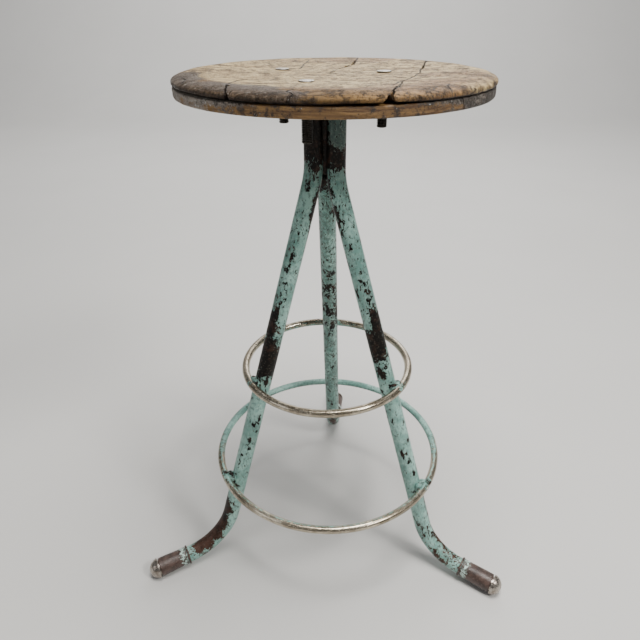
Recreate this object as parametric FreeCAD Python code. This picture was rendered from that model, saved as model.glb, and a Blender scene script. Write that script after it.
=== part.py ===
import FreeCAD, Part
import math
import os

# Tall three-legged swivel stool. The floor is z = 0, the screw axis is +Z through the origin,
# and -Y is the front. All sizes are in millimetres and all angles in degrees.

# Seat: two round boards bolted to a steel flange, a little off the screw's axis
SEAT_RADIUS = 175.0
SEAT_OFFSET_X = 9.0
SEAT_UNDERSIDE = 655.0
BOARD_SEAM = 666.4
LOWER_BOARD_RADIUS = 174.4
RIM_CREST_HEIGHT = 10.6
RIM_CREST_RADIUS = 153.0
RIM_SHOULDER_RADIUS = 169.0
RIM_SHOULDER_HEIGHT = 8.8
DISH_CENTRE_HEIGHT = 6.3
DISH_MIDDLE_HEIGHT = 7.4
SEAM_CHAMFER = 1.8

# Seat bolts, drilled by hand at slightly uneven angles
BOLT_CIRCLE_RADIUS = 68.5
BOLT_ANGLES = (14.7, 137.2, 254.2)
BOLT_RADIUS = 6.0
BOLT_HOLE_RADIUS = 6.2
BOLT_TIP = 613.0
BOLT_TIP_CHAMFER = 1.0
BOLT_HEAD_RADIUS = 8.0
BOLT_HEAD_UNDERSIDE = 671.6
BOLT_HEAD_THICKNESS = 2.6
BOLT_HEAD_ROUNDING = 1.0
BOLT_HEAD_RECESS_RADIUS = 8.3
WASHER_RADIUS = 11.0
WASHER_THICKNESS = 1.6
NUT_ACROSS_FLATS = 18.0
NUT_THICKNESS = 8.0

# Seat flange and screw
FLANGE_RADIUS = 80.0
FLANGE_THICKNESS = 5.0
BOSS_RADIUS = 18.0
BOSS_WELD_LEG = 4.0
SCREW_RADIUS = 8.0
SCREW_LEAD = 4.0
SCREW_TURNS = 9.75
SCREW_STUB_RADIUS = 5.0
STOP_RING_RADIUS = 8.7
STOP_RING_THICKNESS = 5.5
STOP_SCREW_RADIUS = 2.5
STOP_SCREW_LENGTH = 14.0
STOP_SCREW_HEAD_FLATS = 8.0
STOP_SCREW_HEAD_THICKNESS = 3.5

# Threaded socket, end plate and thrust washer
LEG_TOP = 634.0
END_PLATE_RADIUS = 27.0
END_PLATE_THICKNESS = 3.0
SOCKET_RADIUS = 10.5
SOCKET_FOOT = 565.0
SOCKET_BORE_RADIUS = 8.05
SOCKET_RELIEF_RADIUS = 9.0
THRUST_WASHER_THICKNESS = 2.8
THRUST_WASHER_RADIUS = 17.0
THRUST_WASHER_BORE = 8.4
FACE_CLEARANCE = 0.2
STOP_RING_REST_GAP = 1.5

# Legs: three bent tubes in a cluster at the top
LEG_ANGLES = {"left": 207.4, "right": 327.4, "rear": 85.4}
SPLAY_SLOPES = {"left": 0.2933, "right": 0.3160, "rear": 0.2964}
DOME_REACHES = {"left": 276.0, "right": 281.2, "rear": 277.0}
TUBE_RADIUS = 11.6
TUBE_WALL = 1.5
CLUSTER_RADIUS = 15.2
CLUSTER_CORNER_HEIGHTS = {"left": 565.0, "right": 557.0, "rear": 565.0}
TOP_BEND_RADIUS = 110.0
FOOT_BEND_RADII = {"left": 82.0, "right": 75.0, "rear": 78.0}
FOOT_DROP_ANGLES = {"left": 4.5, "right": 5.5, "rear": 4.5}
SOCKET_NOTCH_FOOT = 559.0
HUB_WELD_RADIUS = 3.5
HUB_WELD_REACH = 14.0
HUB_WELD_ANGLES = (26.4, 146.4, 267.4)
HUB_WELD_FOOT = 606.0

# Feet: a collar, a sleeve over the tube's end and a domed glide plugged into it
DOME_RADIUS = 14.2
DOME_CENTRE_HEIGHT = 13.6
DOME_SETBACK = 0.6
NECK_RADIUS = 11.6
NECK_LENGTH = 1.2
SLEEVE_LENGTHS = {"left": 40.5, "right": 43.5, "rear": 42.0}
SLEEVE_MOUTH_RADIUS = 12.7
SLEEVE_END_RADIUS = 13.4
SLEEVE_EDGE = 0.8
TUBE_END_SETBACK = 7.0
COLLAR_RADIUS = 13.9
COLLAR_LENGTH = 3.6
COLLAR_EDGE = 0.9
SPIGOT_RADIUS = 10.0
SPIGOT_LENGTH = 19.0

# Footrest rings
ROD_RADIUS = 5.25
UPPER_RING_RADIUS = 114.8
UPPER_RING_HEIGHT = 292.9
UPPER_RING_OFFSET_X = 2.0
LOWER_RING_RADIUS = 163.7
LOWER_RING_HEIGHT = 139.7
LOWER_RING_OFFSET_X = 3.5
UPPER_WELD_RADIUS = 8.2
LOWER_WELD_RADIUS = 7.4
PEG_RADIUS = 4.5

# Worked-out heights
FLANGE_UNDERSIDE = SEAT_UNDERSIDE - FLANGE_THICKNESS
SOCKET_TOP = LEG_TOP + END_PLATE_THICKNESS
WASHER_FLOOR = SOCKET_TOP + FACE_CLEARANCE
BOSS_UNDERSIDE = WASHER_FLOOR + THRUST_WASHER_THICKNESS + FACE_CLEARANCE
STOP_RING_FOOT = SOCKET_FOOT + STOP_RING_REST_GAP
STOP_RING_TOP = STOP_RING_FOOT + STOP_RING_THICKNESS
SCREW_TRAVEL = SCREW_LEAD * SCREW_TURNS
THREAD_FOOT = STOP_RING_TOP + SCREW_TRAVEL + FACE_CLEARANCE

ORIGIN = FreeCAD.Vector(0, 0, 0)
UP = FreeCAD.Vector(0, 0, 1)
SIDE = FreeCAD.Vector(0, 1, 0)


def vec(x, y, z):
    return FreeCAD.Vector(x, y, z)


def cylinder(radius, foot, top, x=0.0, y=0.0):
    """A solid round bar standing from height foot to height top."""
    return Part.makeCylinder(radius, top - foot, vec(x, y, foot), UP)


def tube(outer, inner, foot, top):
    return cylinder(outer, foot, top).cut(cylinder(inner, foot, top))


def turned(shape, angle):
    """A copy of shape turned about the stool's axis."""
    copy = shape.copy()
    copy.rotate(ORIGIN, UP, angle)
    return copy


def lathe(outline, axis=UP):
    """A solid of revolution from a closed outline in the XZ plane."""
    return Part.Face(Part.Wire(outline)).revolve(ORIGIN, axis, 360)


def polyline(points):
    """Edges through (x, z) points in the XZ plane."""
    corners = [vec(x, 0, z) for x, z in points]
    return [Part.makeLine(a, b) for a, b in zip(corners, corners[1:])]


def arc(start, middle, end):
    return Part.Arc(vec(start[0], 0, start[1]), vec(middle[0], 0, middle[1]), vec(end[0], 0, end[1])).toShape()


def hex_prism(across_flats, foot, top):
    corner_radius = across_flats / math.sqrt(3)
    steps = [math.radians(60 * step) for step in range(7)]
    corners = [vec(corner_radius * math.cos(a), corner_radius * math.sin(a), foot) for a in steps]
    return Part.Face(Part.makePolygon(corners)).extrude(vec(0, 0, top - foot))


def at_bolts(shape):
    """Copies of a shape drawn on the Z axis, one at each seat bolt."""
    copies = []
    for angle in BOLT_ANGLES:
        copy = shape.copy()
        copy.translate(vec(BOLT_CIRCLE_RADIUS, 0, 0))
        copies.append(turned(copy, angle))
    return copies


def off_centre(board):
    """Shifts a board drawn on the Z axis to where it is bolted."""
    board.translate(vec(SEAT_OFFSET_X, 0, 0))
    return board


def upper_board():
    edge_foot = BOARD_SEAM + SEAM_CHAMFER + 0.4
    crest = (RIM_CREST_RADIUS, BOARD_SEAM + RIM_CREST_HEIGHT)
    shoulder = (RIM_SHOULDER_RADIUS, BOARD_SEAM + RIM_SHOULDER_HEIGHT)
    middle = (RIM_CREST_RADIUS / 2, BOARD_SEAM + DISH_MIDDLE_HEIGHT)
    centre = (0, BOARD_SEAM + DISH_CENTRE_HEIGHT)
    outline = polyline([centre, (0, BOARD_SEAM), (SEAT_RADIUS - SEAM_CHAMFER, BOARD_SEAM), (SEAT_RADIUS, edge_foot)])
    outline.append(arc((SEAT_RADIUS, edge_foot), shoulder, crest))
    outline.append(arc(crest, middle, centre))
    board = off_centre(lathe(outline))
    for hole in at_bolts(cylinder(BOLT_HOLE_RADIUS, BOARD_SEAM, BOLT_HEAD_UNDERSIDE)):
        board = board.cut(hole)
    recess_top = BOARD_SEAM + RIM_CREST_HEIGHT
    for recess in at_bolts(cylinder(BOLT_HEAD_RECESS_RADIUS, BOLT_HEAD_UNDERSIDE, recess_top)):
        board = board.cut(recess)
    return board


def lower_board():
    edge = LOWER_BOARD_RADIUS
    outline = polyline([
        (0, SEAT_UNDERSIDE),
        (edge - SEAM_CHAMFER, SEAT_UNDERSIDE),
        (edge, SEAT_UNDERSIDE + SEAM_CHAMFER),
        (edge, BOARD_SEAM - SEAM_CHAMFER),
        (edge - SEAM_CHAMFER, BOARD_SEAM),
        (0, BOARD_SEAM),
        (0, SEAT_UNDERSIDE),
    ])
    board = off_centre(lathe(outline))
    for hole in at_bolts(cylinder(BOLT_HOLE_RADIUS, SEAT_UNDERSIDE, BOARD_SEAM)):
        board = board.cut(hole)
    return board


# --- seat bolts ---

def seat_bolts():
    head_top = BOLT_HEAD_UNDERSIDE + BOLT_HEAD_THICKNESS
    head_edge = head_top - BOLT_HEAD_ROUNDING
    outline = polyline([
        (0, head_top),
        (0, BOLT_TIP),
        (BOLT_RADIUS - BOLT_TIP_CHAMFER, BOLT_TIP),
        (BOLT_RADIUS, BOLT_TIP + BOLT_TIP_CHAMFER),
        (BOLT_RADIUS, BOLT_HEAD_UNDERSIDE),
        (BOLT_HEAD_RADIUS, BOLT_HEAD_UNDERSIDE),
        (BOLT_HEAD_RADIUS, head_edge),
        (BOLT_HEAD_RADIUS - BOLT_HEAD_ROUNDING, head_top),
        (0, head_top),
    ])
    return Part.makeCompound(at_bolts(lathe(outline)))


def bolt_washers():
    foot = FLANGE_UNDERSIDE - WASHER_THICKNESS
    return Part.makeCompound(at_bolts(tube(WASHER_RADIUS, BOLT_HOLE_RADIUS, foot, FLANGE_UNDERSIDE)))


def bolt_nuts():
    top = FLANGE_UNDERSIDE - WASHER_THICKNESS
    nut = hex_prism(NUT_ACROSS_FLATS, top - NUT_THICKNESS, top)
    nut = nut.cut(cylinder(BOLT_RADIUS, top - NUT_THICKNESS, top))
    return Part.makeCompound(at_bolts(nut))


# --- flange and screw ---

def seat_flange():
    plate = tube(FLANGE_RADIUS, SCREW_RADIUS, FLANGE_UNDERSIDE, SEAT_UNDERSIDE)
    for hole in at_bolts(cylinder(BOLT_HOLE_RADIUS, FLANGE_UNDERSIDE, SEAT_UNDERSIDE)):
        plate = plate.cut(hole)
    return plate


def flange_boss():
    return tube(BOSS_RADIUS, SCREW_RADIUS, BOSS_UNDERSIDE, FLANGE_UNDERSIDE)


def boss_weld():
    return lathe(polyline([
        (BOSS_RADIUS, FLANGE_UNDERSIDE),
        (BOSS_RADIUS, FLANGE_UNDERSIDE - BOSS_WELD_LEG),
        (BOSS_RADIUS + BOSS_WELD_LEG, FLANGE_UNDERSIDE),
        (BOSS_RADIUS, FLANGE_UNDERSIDE),
    ]))


def screw_spindle():
    """The screw's crests at full radius; a stub at its foot carries the stop ring."""
    bar = cylinder(SCREW_RADIUS, STOP_RING_TOP, SEAT_UNDERSIDE)
    stub = cylinder(SCREW_STUB_RADIUS, STOP_RING_FOOT, STOP_RING_TOP)
    tapped_hole = cylinder(STOP_SCREW_RADIUS, STOP_RING_FOOT, STOP_RING_FOOT + STOP_SCREW_LENGTH)
    return bar.fuse(stub).removeSplitter().cut(tapped_hole)


def stop_ring():
    return tube(STOP_RING_RADIUS, SCREW_STUB_RADIUS, STOP_RING_FOOT, STOP_RING_TOP)


def stop_screw():
    head = hex_prism(STOP_SCREW_HEAD_FLATS, STOP_RING_FOOT - STOP_SCREW_HEAD_THICKNESS, STOP_RING_FOOT)
    shank = cylinder(STOP_SCREW_RADIUS, STOP_RING_FOOT, STOP_RING_FOOT + STOP_SCREW_LENGTH)
    return head.fuse(shank)


def thrust_washer():
    return tube(THRUST_WASHER_RADIUS, THRUST_WASHER_BORE, WASHER_FLOOR, WASHER_FLOOR + THRUST_WASHER_THICKNESS)


def threaded_socket():
    """Full thread only near the top; the relieved bore below it lets the stop ring travel."""
    body = cylinder(SOCKET_RADIUS, SOCKET_FOOT, SOCKET_TOP)
    relief = cylinder(SOCKET_RELIEF_RADIUS, SOCKET_FOOT, THREAD_FOOT)
    thread = cylinder(SOCKET_BORE_RADIUS, THREAD_FOOT, SOCKET_TOP)
    return body.cut(relief).cut(thread)


def hub_end_plate():
    return tube(END_PLATE_RADIUS, SOCKET_RADIUS, LEG_TOP, SOCKET_TOP)


# --- legs ---

def splay_reach(height, side):
    """Distance of a leg's straight run from the stool's axis at a height."""
    return CLUSTER_RADIUS + SPLAY_SLOPES[side] * (CLUSTER_CORNER_HEIGHTS[side] - height)


def foot_drop(side):
    return math.radians(FOOT_DROP_ANGLES[side])


def foot_corner(side):
    """Where the splayed run and the foot's run would meet without their bend."""
    fall = math.tan(foot_drop(side))
    run_from_floor_line = DOME_REACHES[side] - splay_reach(0, side)
    height = (DOME_CENTRE_HEIGHT + run_from_floor_line * fall) / (1 - SPLAY_SLOPES[side] * fall)
    return vec(splay_reach(height, side), 0, height)


def rounded_path(points, radii):
    """Straight runs through points, joined by tangent arcs of the given radii."""
    edges = []
    start = points[0]
    for before, corner, after, radius in zip(points, points[1:], points[2:], radii):
        back = (before - corner).normalize()
        ahead = (after - corner).normalize()
        half_angle = back.getAngle(ahead) / 2
        setback = radius / math.tan(half_angle)
        bend_start = corner + back * setback
        bend_end = corner + ahead * setback
        bisector = (back + ahead).normalize()
        bend_middle = corner + bisector * (radius / math.sin(half_angle) - radius)
        edges.append(Part.makeLine(start, bend_start))
        edges.append(Part.Arc(bend_start, bend_middle, bend_end).toShape())
        start = bend_end
    edges.append(Part.makeLine(start, points[-1]))
    return Part.Wire(edges)


def bend_setback(side):
    """Length along the foot's run that its bend takes up."""
    turn = math.pi / 2 - math.atan(SPLAY_SLOPES[side]) - foot_drop(side)
    return FOOT_BEND_RADII[side] * math.tan(turn / 2)


def along_foot(distance, side):
    drop = foot_drop(side)
    return vec(math.cos(drop), 0, -math.sin(drop)) * distance


def foot_start(side):
    """The inner end of the foot's straight run, just past its bend."""
    return foot_corner(side) + along_foot(bend_setback(side), side)


def dome_base(side):
    """Distance from foot_start to the flat back of the glide's dome."""
    run = (DOME_REACHES[side] - foot_corner(side).x) / math.cos(foot_drop(side))
    return run - bend_setback(side) + DOME_SETBACK


def leg_centreline(side):
    tube_end = dome_base(side) - NECK_LENGTH - TUBE_END_SETBACK
    points = [
        vec(CLUSTER_RADIUS, 0, LEG_TOP),
        vec(CLUSTER_RADIUS, 0, CLUSTER_CORNER_HEIGHTS[side]),
        foot_corner(side),
        foot_start(side) + along_foot(tube_end, side),
    ]
    return rounded_path(points, [TOP_BEND_RADIUS, FOOT_BEND_RADII[side]])


def swept_bar(radius, side):
    profile = Part.Wire(Part.makeCircle(radius, vec(CLUSTER_RADIUS, 0, LEG_TOP), UP))
    return leg_centreline(side).makePipeShell([profile], True, False)


def leg(outer_bar, side):
    """One tube along +X, with its inner wall notched round the socket."""
    tube_solid = outer_bar.cut(swept_bar(TUBE_RADIUS - TUBE_WALL, side))
    return tube_solid.cut(cylinder(SOCKET_RADIUS, SOCKET_NOTCH_FOOT, LEG_TOP))


def hub_welds(outer_bars):
    """A seam in each valley between neighbouring leg tubes."""
    beads = []
    for angle in HUB_WELD_ANGLES:
        bead = turned(cylinder(HUB_WELD_RADIUS, HUB_WELD_FOOT, LEG_TOP, HUB_WELD_REACH), angle)
        for bar in outer_bars:
            bead = bead.cut(bar)
        bead = bead.cut(cylinder(SOCKET_RADIUS, SOCKET_FOOT, LEG_TOP))
        beads.append(bead)
    return Part.makeCompound(beads)


# --- feet ---

def onto_foot(shape, side):
    """Moves a shape drawn along +X from the origin onto the foot of a leg."""
    placed = shape.copy()
    placed.rotate(ORIGIN, SIDE, FOOT_DROP_ANGLES[side])
    placed.translate(foot_start(side))
    return turned(placed, LEG_ANGLES[side])


def foot_sleeve(side):
    end = dome_base(side) - NECK_LENGTH
    mouth = end - SLEEVE_LENGTHS[side]
    seat = end - TUBE_END_SETBACK
    return lathe(polyline([
        (mouth, TUBE_RADIUS),
        (mouth, SLEEVE_MOUTH_RADIUS),
        (end - SLEEVE_EDGE, SLEEVE_END_RADIUS),
        (end, SLEEVE_END_RADIUS - SLEEVE_EDGE),
        (end, SPIGOT_RADIUS),
        (seat, SPIGOT_RADIUS),
        (seat, TUBE_RADIUS),
        (mouth, TUBE_RADIUS),
    ]), vec(1, 0, 0))


def foot_collar(side):
    end = dome_base(side) - NECK_LENGTH - SLEEVE_LENGTHS[side]
    mouth = end - COLLAR_LENGTH
    return lathe(polyline([
        (mouth, TUBE_RADIUS),
        (mouth, COLLAR_RADIUS - COLLAR_EDGE),
        (mouth + COLLAR_EDGE, COLLAR_RADIUS),
        (end - COLLAR_EDGE, COLLAR_RADIUS),
        (end, COLLAR_RADIUS - COLLAR_EDGE),
        (end, TUBE_RADIUS),
        (mouth, TUBE_RADIUS),
    ]), vec(1, 0, 0))


def foot_glide(side):
    """A spigot in the tube's end, a short neck and a nearly half-round dome."""
    base = dome_base(side)
    neck = base - NECK_LENGTH
    centre = base - DOME_SETBACK
    base_radius = math.sqrt(DOME_RADIUS ** 2 - DOME_SETBACK ** 2)
    tip = centre + DOME_RADIUS
    slant = DOME_RADIUS * math.sqrt(0.5)
    outline = polyline([
        (tip, 0),
        (neck - SPIGOT_LENGTH, 0),
        (neck - SPIGOT_LENGTH, SPIGOT_RADIUS),
        (neck, SPIGOT_RADIUS),
        (neck, NECK_RADIUS),
        (base, NECK_RADIUS),
        (base, base_radius),
    ])
    outline.append(arc((base, base_radius), (centre + slant, slant), (tip, 0)))
    return lathe(outline, vec(1, 0, 0))


def worn_flat(glide):
    """Takes off the glide's underside at floor level."""
    reach = 400.0
    below_floor = Part.makeBox(2 * reach, 2 * reach, DOME_RADIUS, vec(-reach, -reach, -DOME_RADIUS))
    return glide.cut(below_floor)


# --- footrest rings ---

def ring(radius, height, offset_x):
    return Part.makeTorus(radius, ROD_RADIUS, vec(offset_x, 0, height), UP)


def tube_face_reach(height, side):
    """Distance from the stool's axis to the outer face of a splayed leg at a height."""
    return splay_reach(height, side) + TUBE_RADIUS * math.hypot(1, SPLAY_SLOPES[side])


def ring_reach(radius, offset_x, side):
    """Distance from the stool's axis to a ring's rod centre at a leg."""
    return radius + offset_x * math.cos(math.radians(LEG_ANGLES[side]))


def joint_beads(ring_solid, radius, height, ring_radius, offset_x, outer_bars, pegs):
    """One rounded weld between each leg and a ring, clear of both."""
    beads = []
    for side, angle in LEG_ANGLES.items():
        rod_face = ring_reach(ring_radius, offset_x, side) - ROD_RADIUS
        reach = (tube_face_reach(height, side) + rod_face) / 2
        bead = turned(Part.makeSphere(radius, vec(reach, 0, height)), angle)
        for solid in [outer_bars[side], ring_solid] + pegs:
            bead = bead.cut(solid)
        beads.append(bead)
    return Part.makeCompound(beads)


def ring_pegs(ring_solid, outer_bars):
    """Short rods that bridge the gaps from the legs to the lower ring."""
    pegs = []
    for side, angle in LEG_ANGLES.items():
        start = splay_reach(LOWER_RING_HEIGHT, side)
        length = ring_reach(LOWER_RING_RADIUS, LOWER_RING_OFFSET_X, side) - start
        place = vec(start, 0, LOWER_RING_HEIGHT)
        peg = turned(Part.makeCylinder(PEG_RADIUS, length, place, vec(1, 0, 0)), angle)
        pegs.append(peg.cut(outer_bars[side]).cut(ring_solid))
    return pegs


def build():
    nodes = {}
    outer_bars = {}
    for side, angle in LEG_ANGLES.items():
        outer_bar = swept_bar(TUBE_RADIUS, side)
        outer_bars[side] = turned(outer_bar, angle)
        nodes["leg_" + side] = turned(leg(outer_bar, side), angle)
        nodes["foot_collar_" + side] = onto_foot(foot_collar(side), side)
        nodes["foot_sleeve_" + side] = onto_foot(foot_sleeve(side), side)
        nodes["foot_glide_" + side] = worn_flat(onto_foot(foot_glide(side), side))
    nodes["hub_weld_seams"] = hub_welds(outer_bars.values())
    nodes["hub_end_plate"] = hub_end_plate()
    nodes["threaded_socket"] = threaded_socket()

    upper_ring = ring(UPPER_RING_RADIUS, UPPER_RING_HEIGHT, UPPER_RING_OFFSET_X)
    lower_ring = ring(LOWER_RING_RADIUS, LOWER_RING_HEIGHT, LOWER_RING_OFFSET_X)
    pegs = ring_pegs(lower_ring, outer_bars)
    nodes["upper_footrest_ring"] = upper_ring
    nodes["lower_footrest_ring"] = lower_ring
    nodes["upper_ring_welds"] = joint_beads(
        upper_ring, UPPER_WELD_RADIUS, UPPER_RING_HEIGHT, UPPER_RING_RADIUS, UPPER_RING_OFFSET_X, outer_bars, [])
    nodes["lower_ring_pegs"] = Part.makeCompound(pegs)
    nodes["lower_ring_welds"] = joint_beads(
        lower_ring, LOWER_WELD_RADIUS, LOWER_RING_HEIGHT, LOWER_RING_RADIUS, LOWER_RING_OFFSET_X, outer_bars, pegs)

    nodes["thrust_washer"] = thrust_washer()
    nodes["seat_board_lower"] = lower_board()
    nodes["seat_board_upper"] = upper_board()
    nodes["seat_flange"] = seat_flange()
    nodes["flange_boss"] = flange_boss()
    nodes["boss_weld"] = boss_weld()
    nodes["screw_spindle"] = screw_spindle()
    nodes["stop_ring"] = stop_ring()
    nodes["stop_screw"] = stop_screw()
    nodes["seat_bolts"] = seat_bolts()
    nodes["bolt_washers"] = bolt_washers()
    nodes["bolt_nuts"] = bolt_nuts()
    return nodes


os.makedirs("parts", exist_ok=True)
for name, shape in build().items():
    box = shape.BoundBox
    print(f"{name:22s} valid={shape.isValid()} solids={len(shape.Solids)} volume={shape.Volume:10.1f}"
          f" z={box.ZMin:7.2f}..{box.ZMax:7.2f}")
    shape.exportStep(f"parts/{name}.step")
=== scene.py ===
import math

import bmesh
import bpy
import numpy as np
from mathutils import Matrix, Vector, noise


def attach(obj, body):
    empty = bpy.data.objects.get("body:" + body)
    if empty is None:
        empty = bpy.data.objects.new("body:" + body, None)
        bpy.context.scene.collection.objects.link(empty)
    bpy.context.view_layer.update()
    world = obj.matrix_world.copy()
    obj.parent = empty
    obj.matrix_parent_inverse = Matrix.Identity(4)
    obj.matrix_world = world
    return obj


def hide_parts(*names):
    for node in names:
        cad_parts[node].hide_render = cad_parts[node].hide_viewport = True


# Tall three-legged swivel stool with a worn wooden seat and chipped paint. The floor is z = 0, the
# screw axis is +Z through the origin and -Y is the front. Shapes are drawn in millimetres, as in the
# CAD part, and turned into metres where a mesh is made.
MM = 0.001

# Seat boards
SEAT_RADIUS = 175.0
SEAT_OFFSET_X = 9.0
SEAT_UNDERSIDE = 655.0
BOARD_SEAM = 666.4
LOWER_BOARD_RADIUS = 174.4
RIM_CREST_HEIGHT = 10.6
RIM_CREST_RADIUS = 153.0
DISH_CENTRE_HEIGHT = 6.3
RIM_EDGE_HEIGHT = 3.0

# Seat bolts
BOLT_CIRCLE_RADIUS = 68.5
BOLT_ANGLES = (14.7, 137.2, 254.2)
BOLT_RADIUS = 6.0
BOLT_HOLE_RADIUS = 6.2
BOLT_TIP = 613.0
BOLT_HEAD_RADIUS = 8.0
BOLT_HEAD_UNDERSIDE = 671.6
BOLT_HEAD_TOP = 674.2
BOLT_HEAD_RECESS_RADIUS = 8.3
BOLT_PITCH = 1.75
BOLT_THREAD_DEPTH = 0.9
BOLT_THREAD_TOP = 650.0
WASHER_RADIUS = 11.0
WASHER_THICKNESS = 1.6
NUT_ACROSS_FLATS = 18.0
NUT_THICKNESS = 8.0

# Flange and screw
FLANGE_RADIUS = 80.0
FLANGE_UNDERSIDE = 650.0
BOSS_RADIUS = 18.0
BOSS_UNDERSIDE = 640.2
SCREW_RADIUS = 8.0
SCREW_LEAD = 4.0
SCREW_ROOT_DEPTH = 1.7
SCREW_THREAD_TOP = 646.0
SCREW_SHANK_FOOT = 648.0
SCREW_STUB_RADIUS = 5.0
STOP_RING_RADIUS = 8.7
STOP_RING_FOOT = 566.5
STOP_RING_TOP = 572.0
STOP_SCREW_RADIUS = 2.5
STOP_SCREW_TOP = 580.5
STOP_SCREW_HEAD_FLATS = 8.0
STOP_SCREW_HEAD_FOOT = 563.0

# Hub
LEG_TOP = 634.0
END_PLATE_RADIUS = 27.0
SOCKET_RADIUS = 10.5
SOCKET_FOOT = 565.0
SOCKET_TOP = 637.0
SOCKET_BORE_RADIUS = 8.05
SOCKET_RELIEF_RADIUS = 9.0
SOCKET_THREAD_FOOT = 611.2
THRUST_WASHER_FOOT = 637.2
THRUST_WASHER_TOP = 640.0
THRUST_WASHER_RADIUS = 17.0
THRUST_WASHER_BORE = 8.4
NOTCH_FOOT = 545.0
NOTCH_TOP = 562.0

# Legs
LEG_ANGLES = {"left": 207.4, "right": 327.4, "rear": 85.4}
SPLAY_SLOPES = {"left": 0.2933, "right": 0.3160, "rear": 0.2964}
DOME_REACHES = {"left": 276.0, "right": 281.2, "rear": 277.0}
TUBE_RADIUS = 11.6
CLUSTER_RADIUS = 15.2
CLUSTER_CORNER_HEIGHTS = {"left": 565.0, "right": 557.0, "rear": 565.0}
TOP_BEND_RADIUS = 110.0
FOOT_BEND_RADII = {"left": 82.0, "right": 75.0, "rear": 78.0}
FOOT_DROP_ANGLES = {"left": 4.5, "right": 5.5, "rear": 4.5}
HUB_WELD_REACH = 14.0
HUB_WELD_RADIUS = 3.5
HUB_WELD_ANGLES = (26.4, 146.4, 267.4)
HUB_WELD_FOOT = 606.0

# Feet
DOME_RADIUS = 14.2
DOME_CENTRE_HEIGHT = 13.6
DOME_SETBACK = 0.6
NECK_RADIUS = 11.6
NECK_LENGTH = 1.2
PLUG_RADIUS = 9.3
PLUG_LENGTH = 18.0
SLEEVE_LENGTHS = {"left": 40.5, "right": 43.5, "rear": 42.0}
SLEEVE_MOUTH_RADIUS = 12.7
SLEEVE_WAIST_RADIUS = 12.35
SLEEVE_BARREL_RADIUS = 12.9
SLEEVE_END_RADIUS = 13.4
SLEEVE_END_BORE = 9.5
TUBE_END_SETBACK = 7.0
COLLAR_RADIUS = 13.9
COLLAR_LENGTH = 3.6

# Footrest rings
ROD_RADIUS = 5.25
UPPER_RING_RADIUS = 114.8
UPPER_RING_HEIGHT = 292.9
UPPER_RING_OFFSET_X = 2.0
LOWER_RING_RADIUS = 163.7
LOWER_RING_HEIGHT = 139.7
LOWER_RING_OFFSET_X = 3.5
PEG_RADIUS = 4.5

# Camera: where it stands, how it is tipped, and its lens, in metres, degrees and millimetres
CAMERA_POSITION = (0.0, -0.6661, 0.7433)
CAMERA_TILT_DOWN = 29.32
CAMERA_YAW = -0.630
CAMERA_ROLL = -0.37
CAMERA_LENS = 31.58
CAMERA_SHIFT_Y = -0.0072


# --- meshes ---

def mesh_from(name, points, faces):
    """A mesh from points in millimetres, with doubled points merged and its faces turned outwards."""
    mesh = bpy.data.meshes.new(name)
    mesh.from_pydata((np.asarray(points, float) * MM).tolist(), [], faces)
    work = bmesh.new()
    work.from_mesh(mesh)
    bmesh.ops.remove_doubles(work, verts=work.verts, dist=1e-7)
    bmesh.ops.recalc_face_normals(work, faces=work.faces)
    work.to_mesh(mesh)
    work.free()
    return mesh


def place(name, mesh, sharp_angle=38.0):
    """An object for a mesh, shaded smooth apart from edges sharper than an angle."""
    mesh.shade_smooth()
    mesh.set_sharp_from_angle(angle=math.radians(sharp_angle))
    thing = bpy.data.objects.new(name, mesh)
    bpy.context.scene.collection.objects.link(thing)
    return thing


def skin(name, rows, closed=False):
    """A surface over rows of points that each close round on themselves.

    The last row joins the first if closed is set; otherwise both ends are capped.
    """
    count, around = rows.shape[0], rows.shape[1]
    faces = []
    for row in range(count if closed else count - 1):
        below = row * around
        above = (row + 1) % count * around
        for step in range(around):
            ahead = (step + 1) % around
            faces.append((below + step, below + ahead, above + ahead, above + step))
    for row in () if closed else (0, count - 1):
        if np.ptp(rows[row], axis=0).max() > 0.01:
            faces.append(tuple(row * around + step for step in range(around)))
    return mesh_from(name, rows.reshape(-1, 3), faces)


def circle(steps):
    """Angles evenly spaced round a full turn."""
    return np.linspace(0, 2 * math.pi, steps, endpoint=False)


def round_row(reach, angles, height, x=0.0, y=0.0):
    """Points at a reach from (x, y) for each angle, all at one height or each at its own."""
    return np.stack([reach * np.cos(angles) + x, reach * np.sin(angles) + y,
                     height * np.ones(len(angles))], axis=1)


def softened(corners, steps=4, closed=False):
    """An outline whose (across, along, rounding) corners are turned into small curves."""
    count = len(corners)
    outline = []
    for index, (across, along, rounding) in enumerate(corners):
        corner = np.array((across, along), float)
        if rounding == 0 or (not closed and index in (0, count - 1)):
            outline.append(corner)
            continue
        before = np.array(corners[index - 1][:2], float) - corner
        after = np.array(corners[(index + 1) % count][:2], float) - corner
        reach_before = min(rounding, 0.5 * np.linalg.norm(before))
        reach_after = min(rounding, 0.5 * np.linalg.norm(after))
        start = corner + before / np.linalg.norm(before) * reach_before
        end = corner + after / np.linalg.norm(after) * reach_after
        for part in np.linspace(0, 1, steps + 1):
            outline.append((1 - part) ** 2 * start + 2 * part * (1 - part) * corner + part ** 2 * end)
    return np.array(outline)


def lathe(name, corners, around=96, closed=True, x=0.0, y=0.0):
    """A turned solid about a vertical axis from an outline of (radius, height, rounding) corners."""
    outline = softened(corners, closed=closed)
    angles = circle(around)
    rows = np.stack([
        outline[:, :1] * np.cos(angles) + x,
        outline[:, :1] * np.sin(angles) + y,
        np.repeat(outline[:, 1:], around, axis=1),
    ], axis=2)
    return skin(name, rows, closed)


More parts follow.
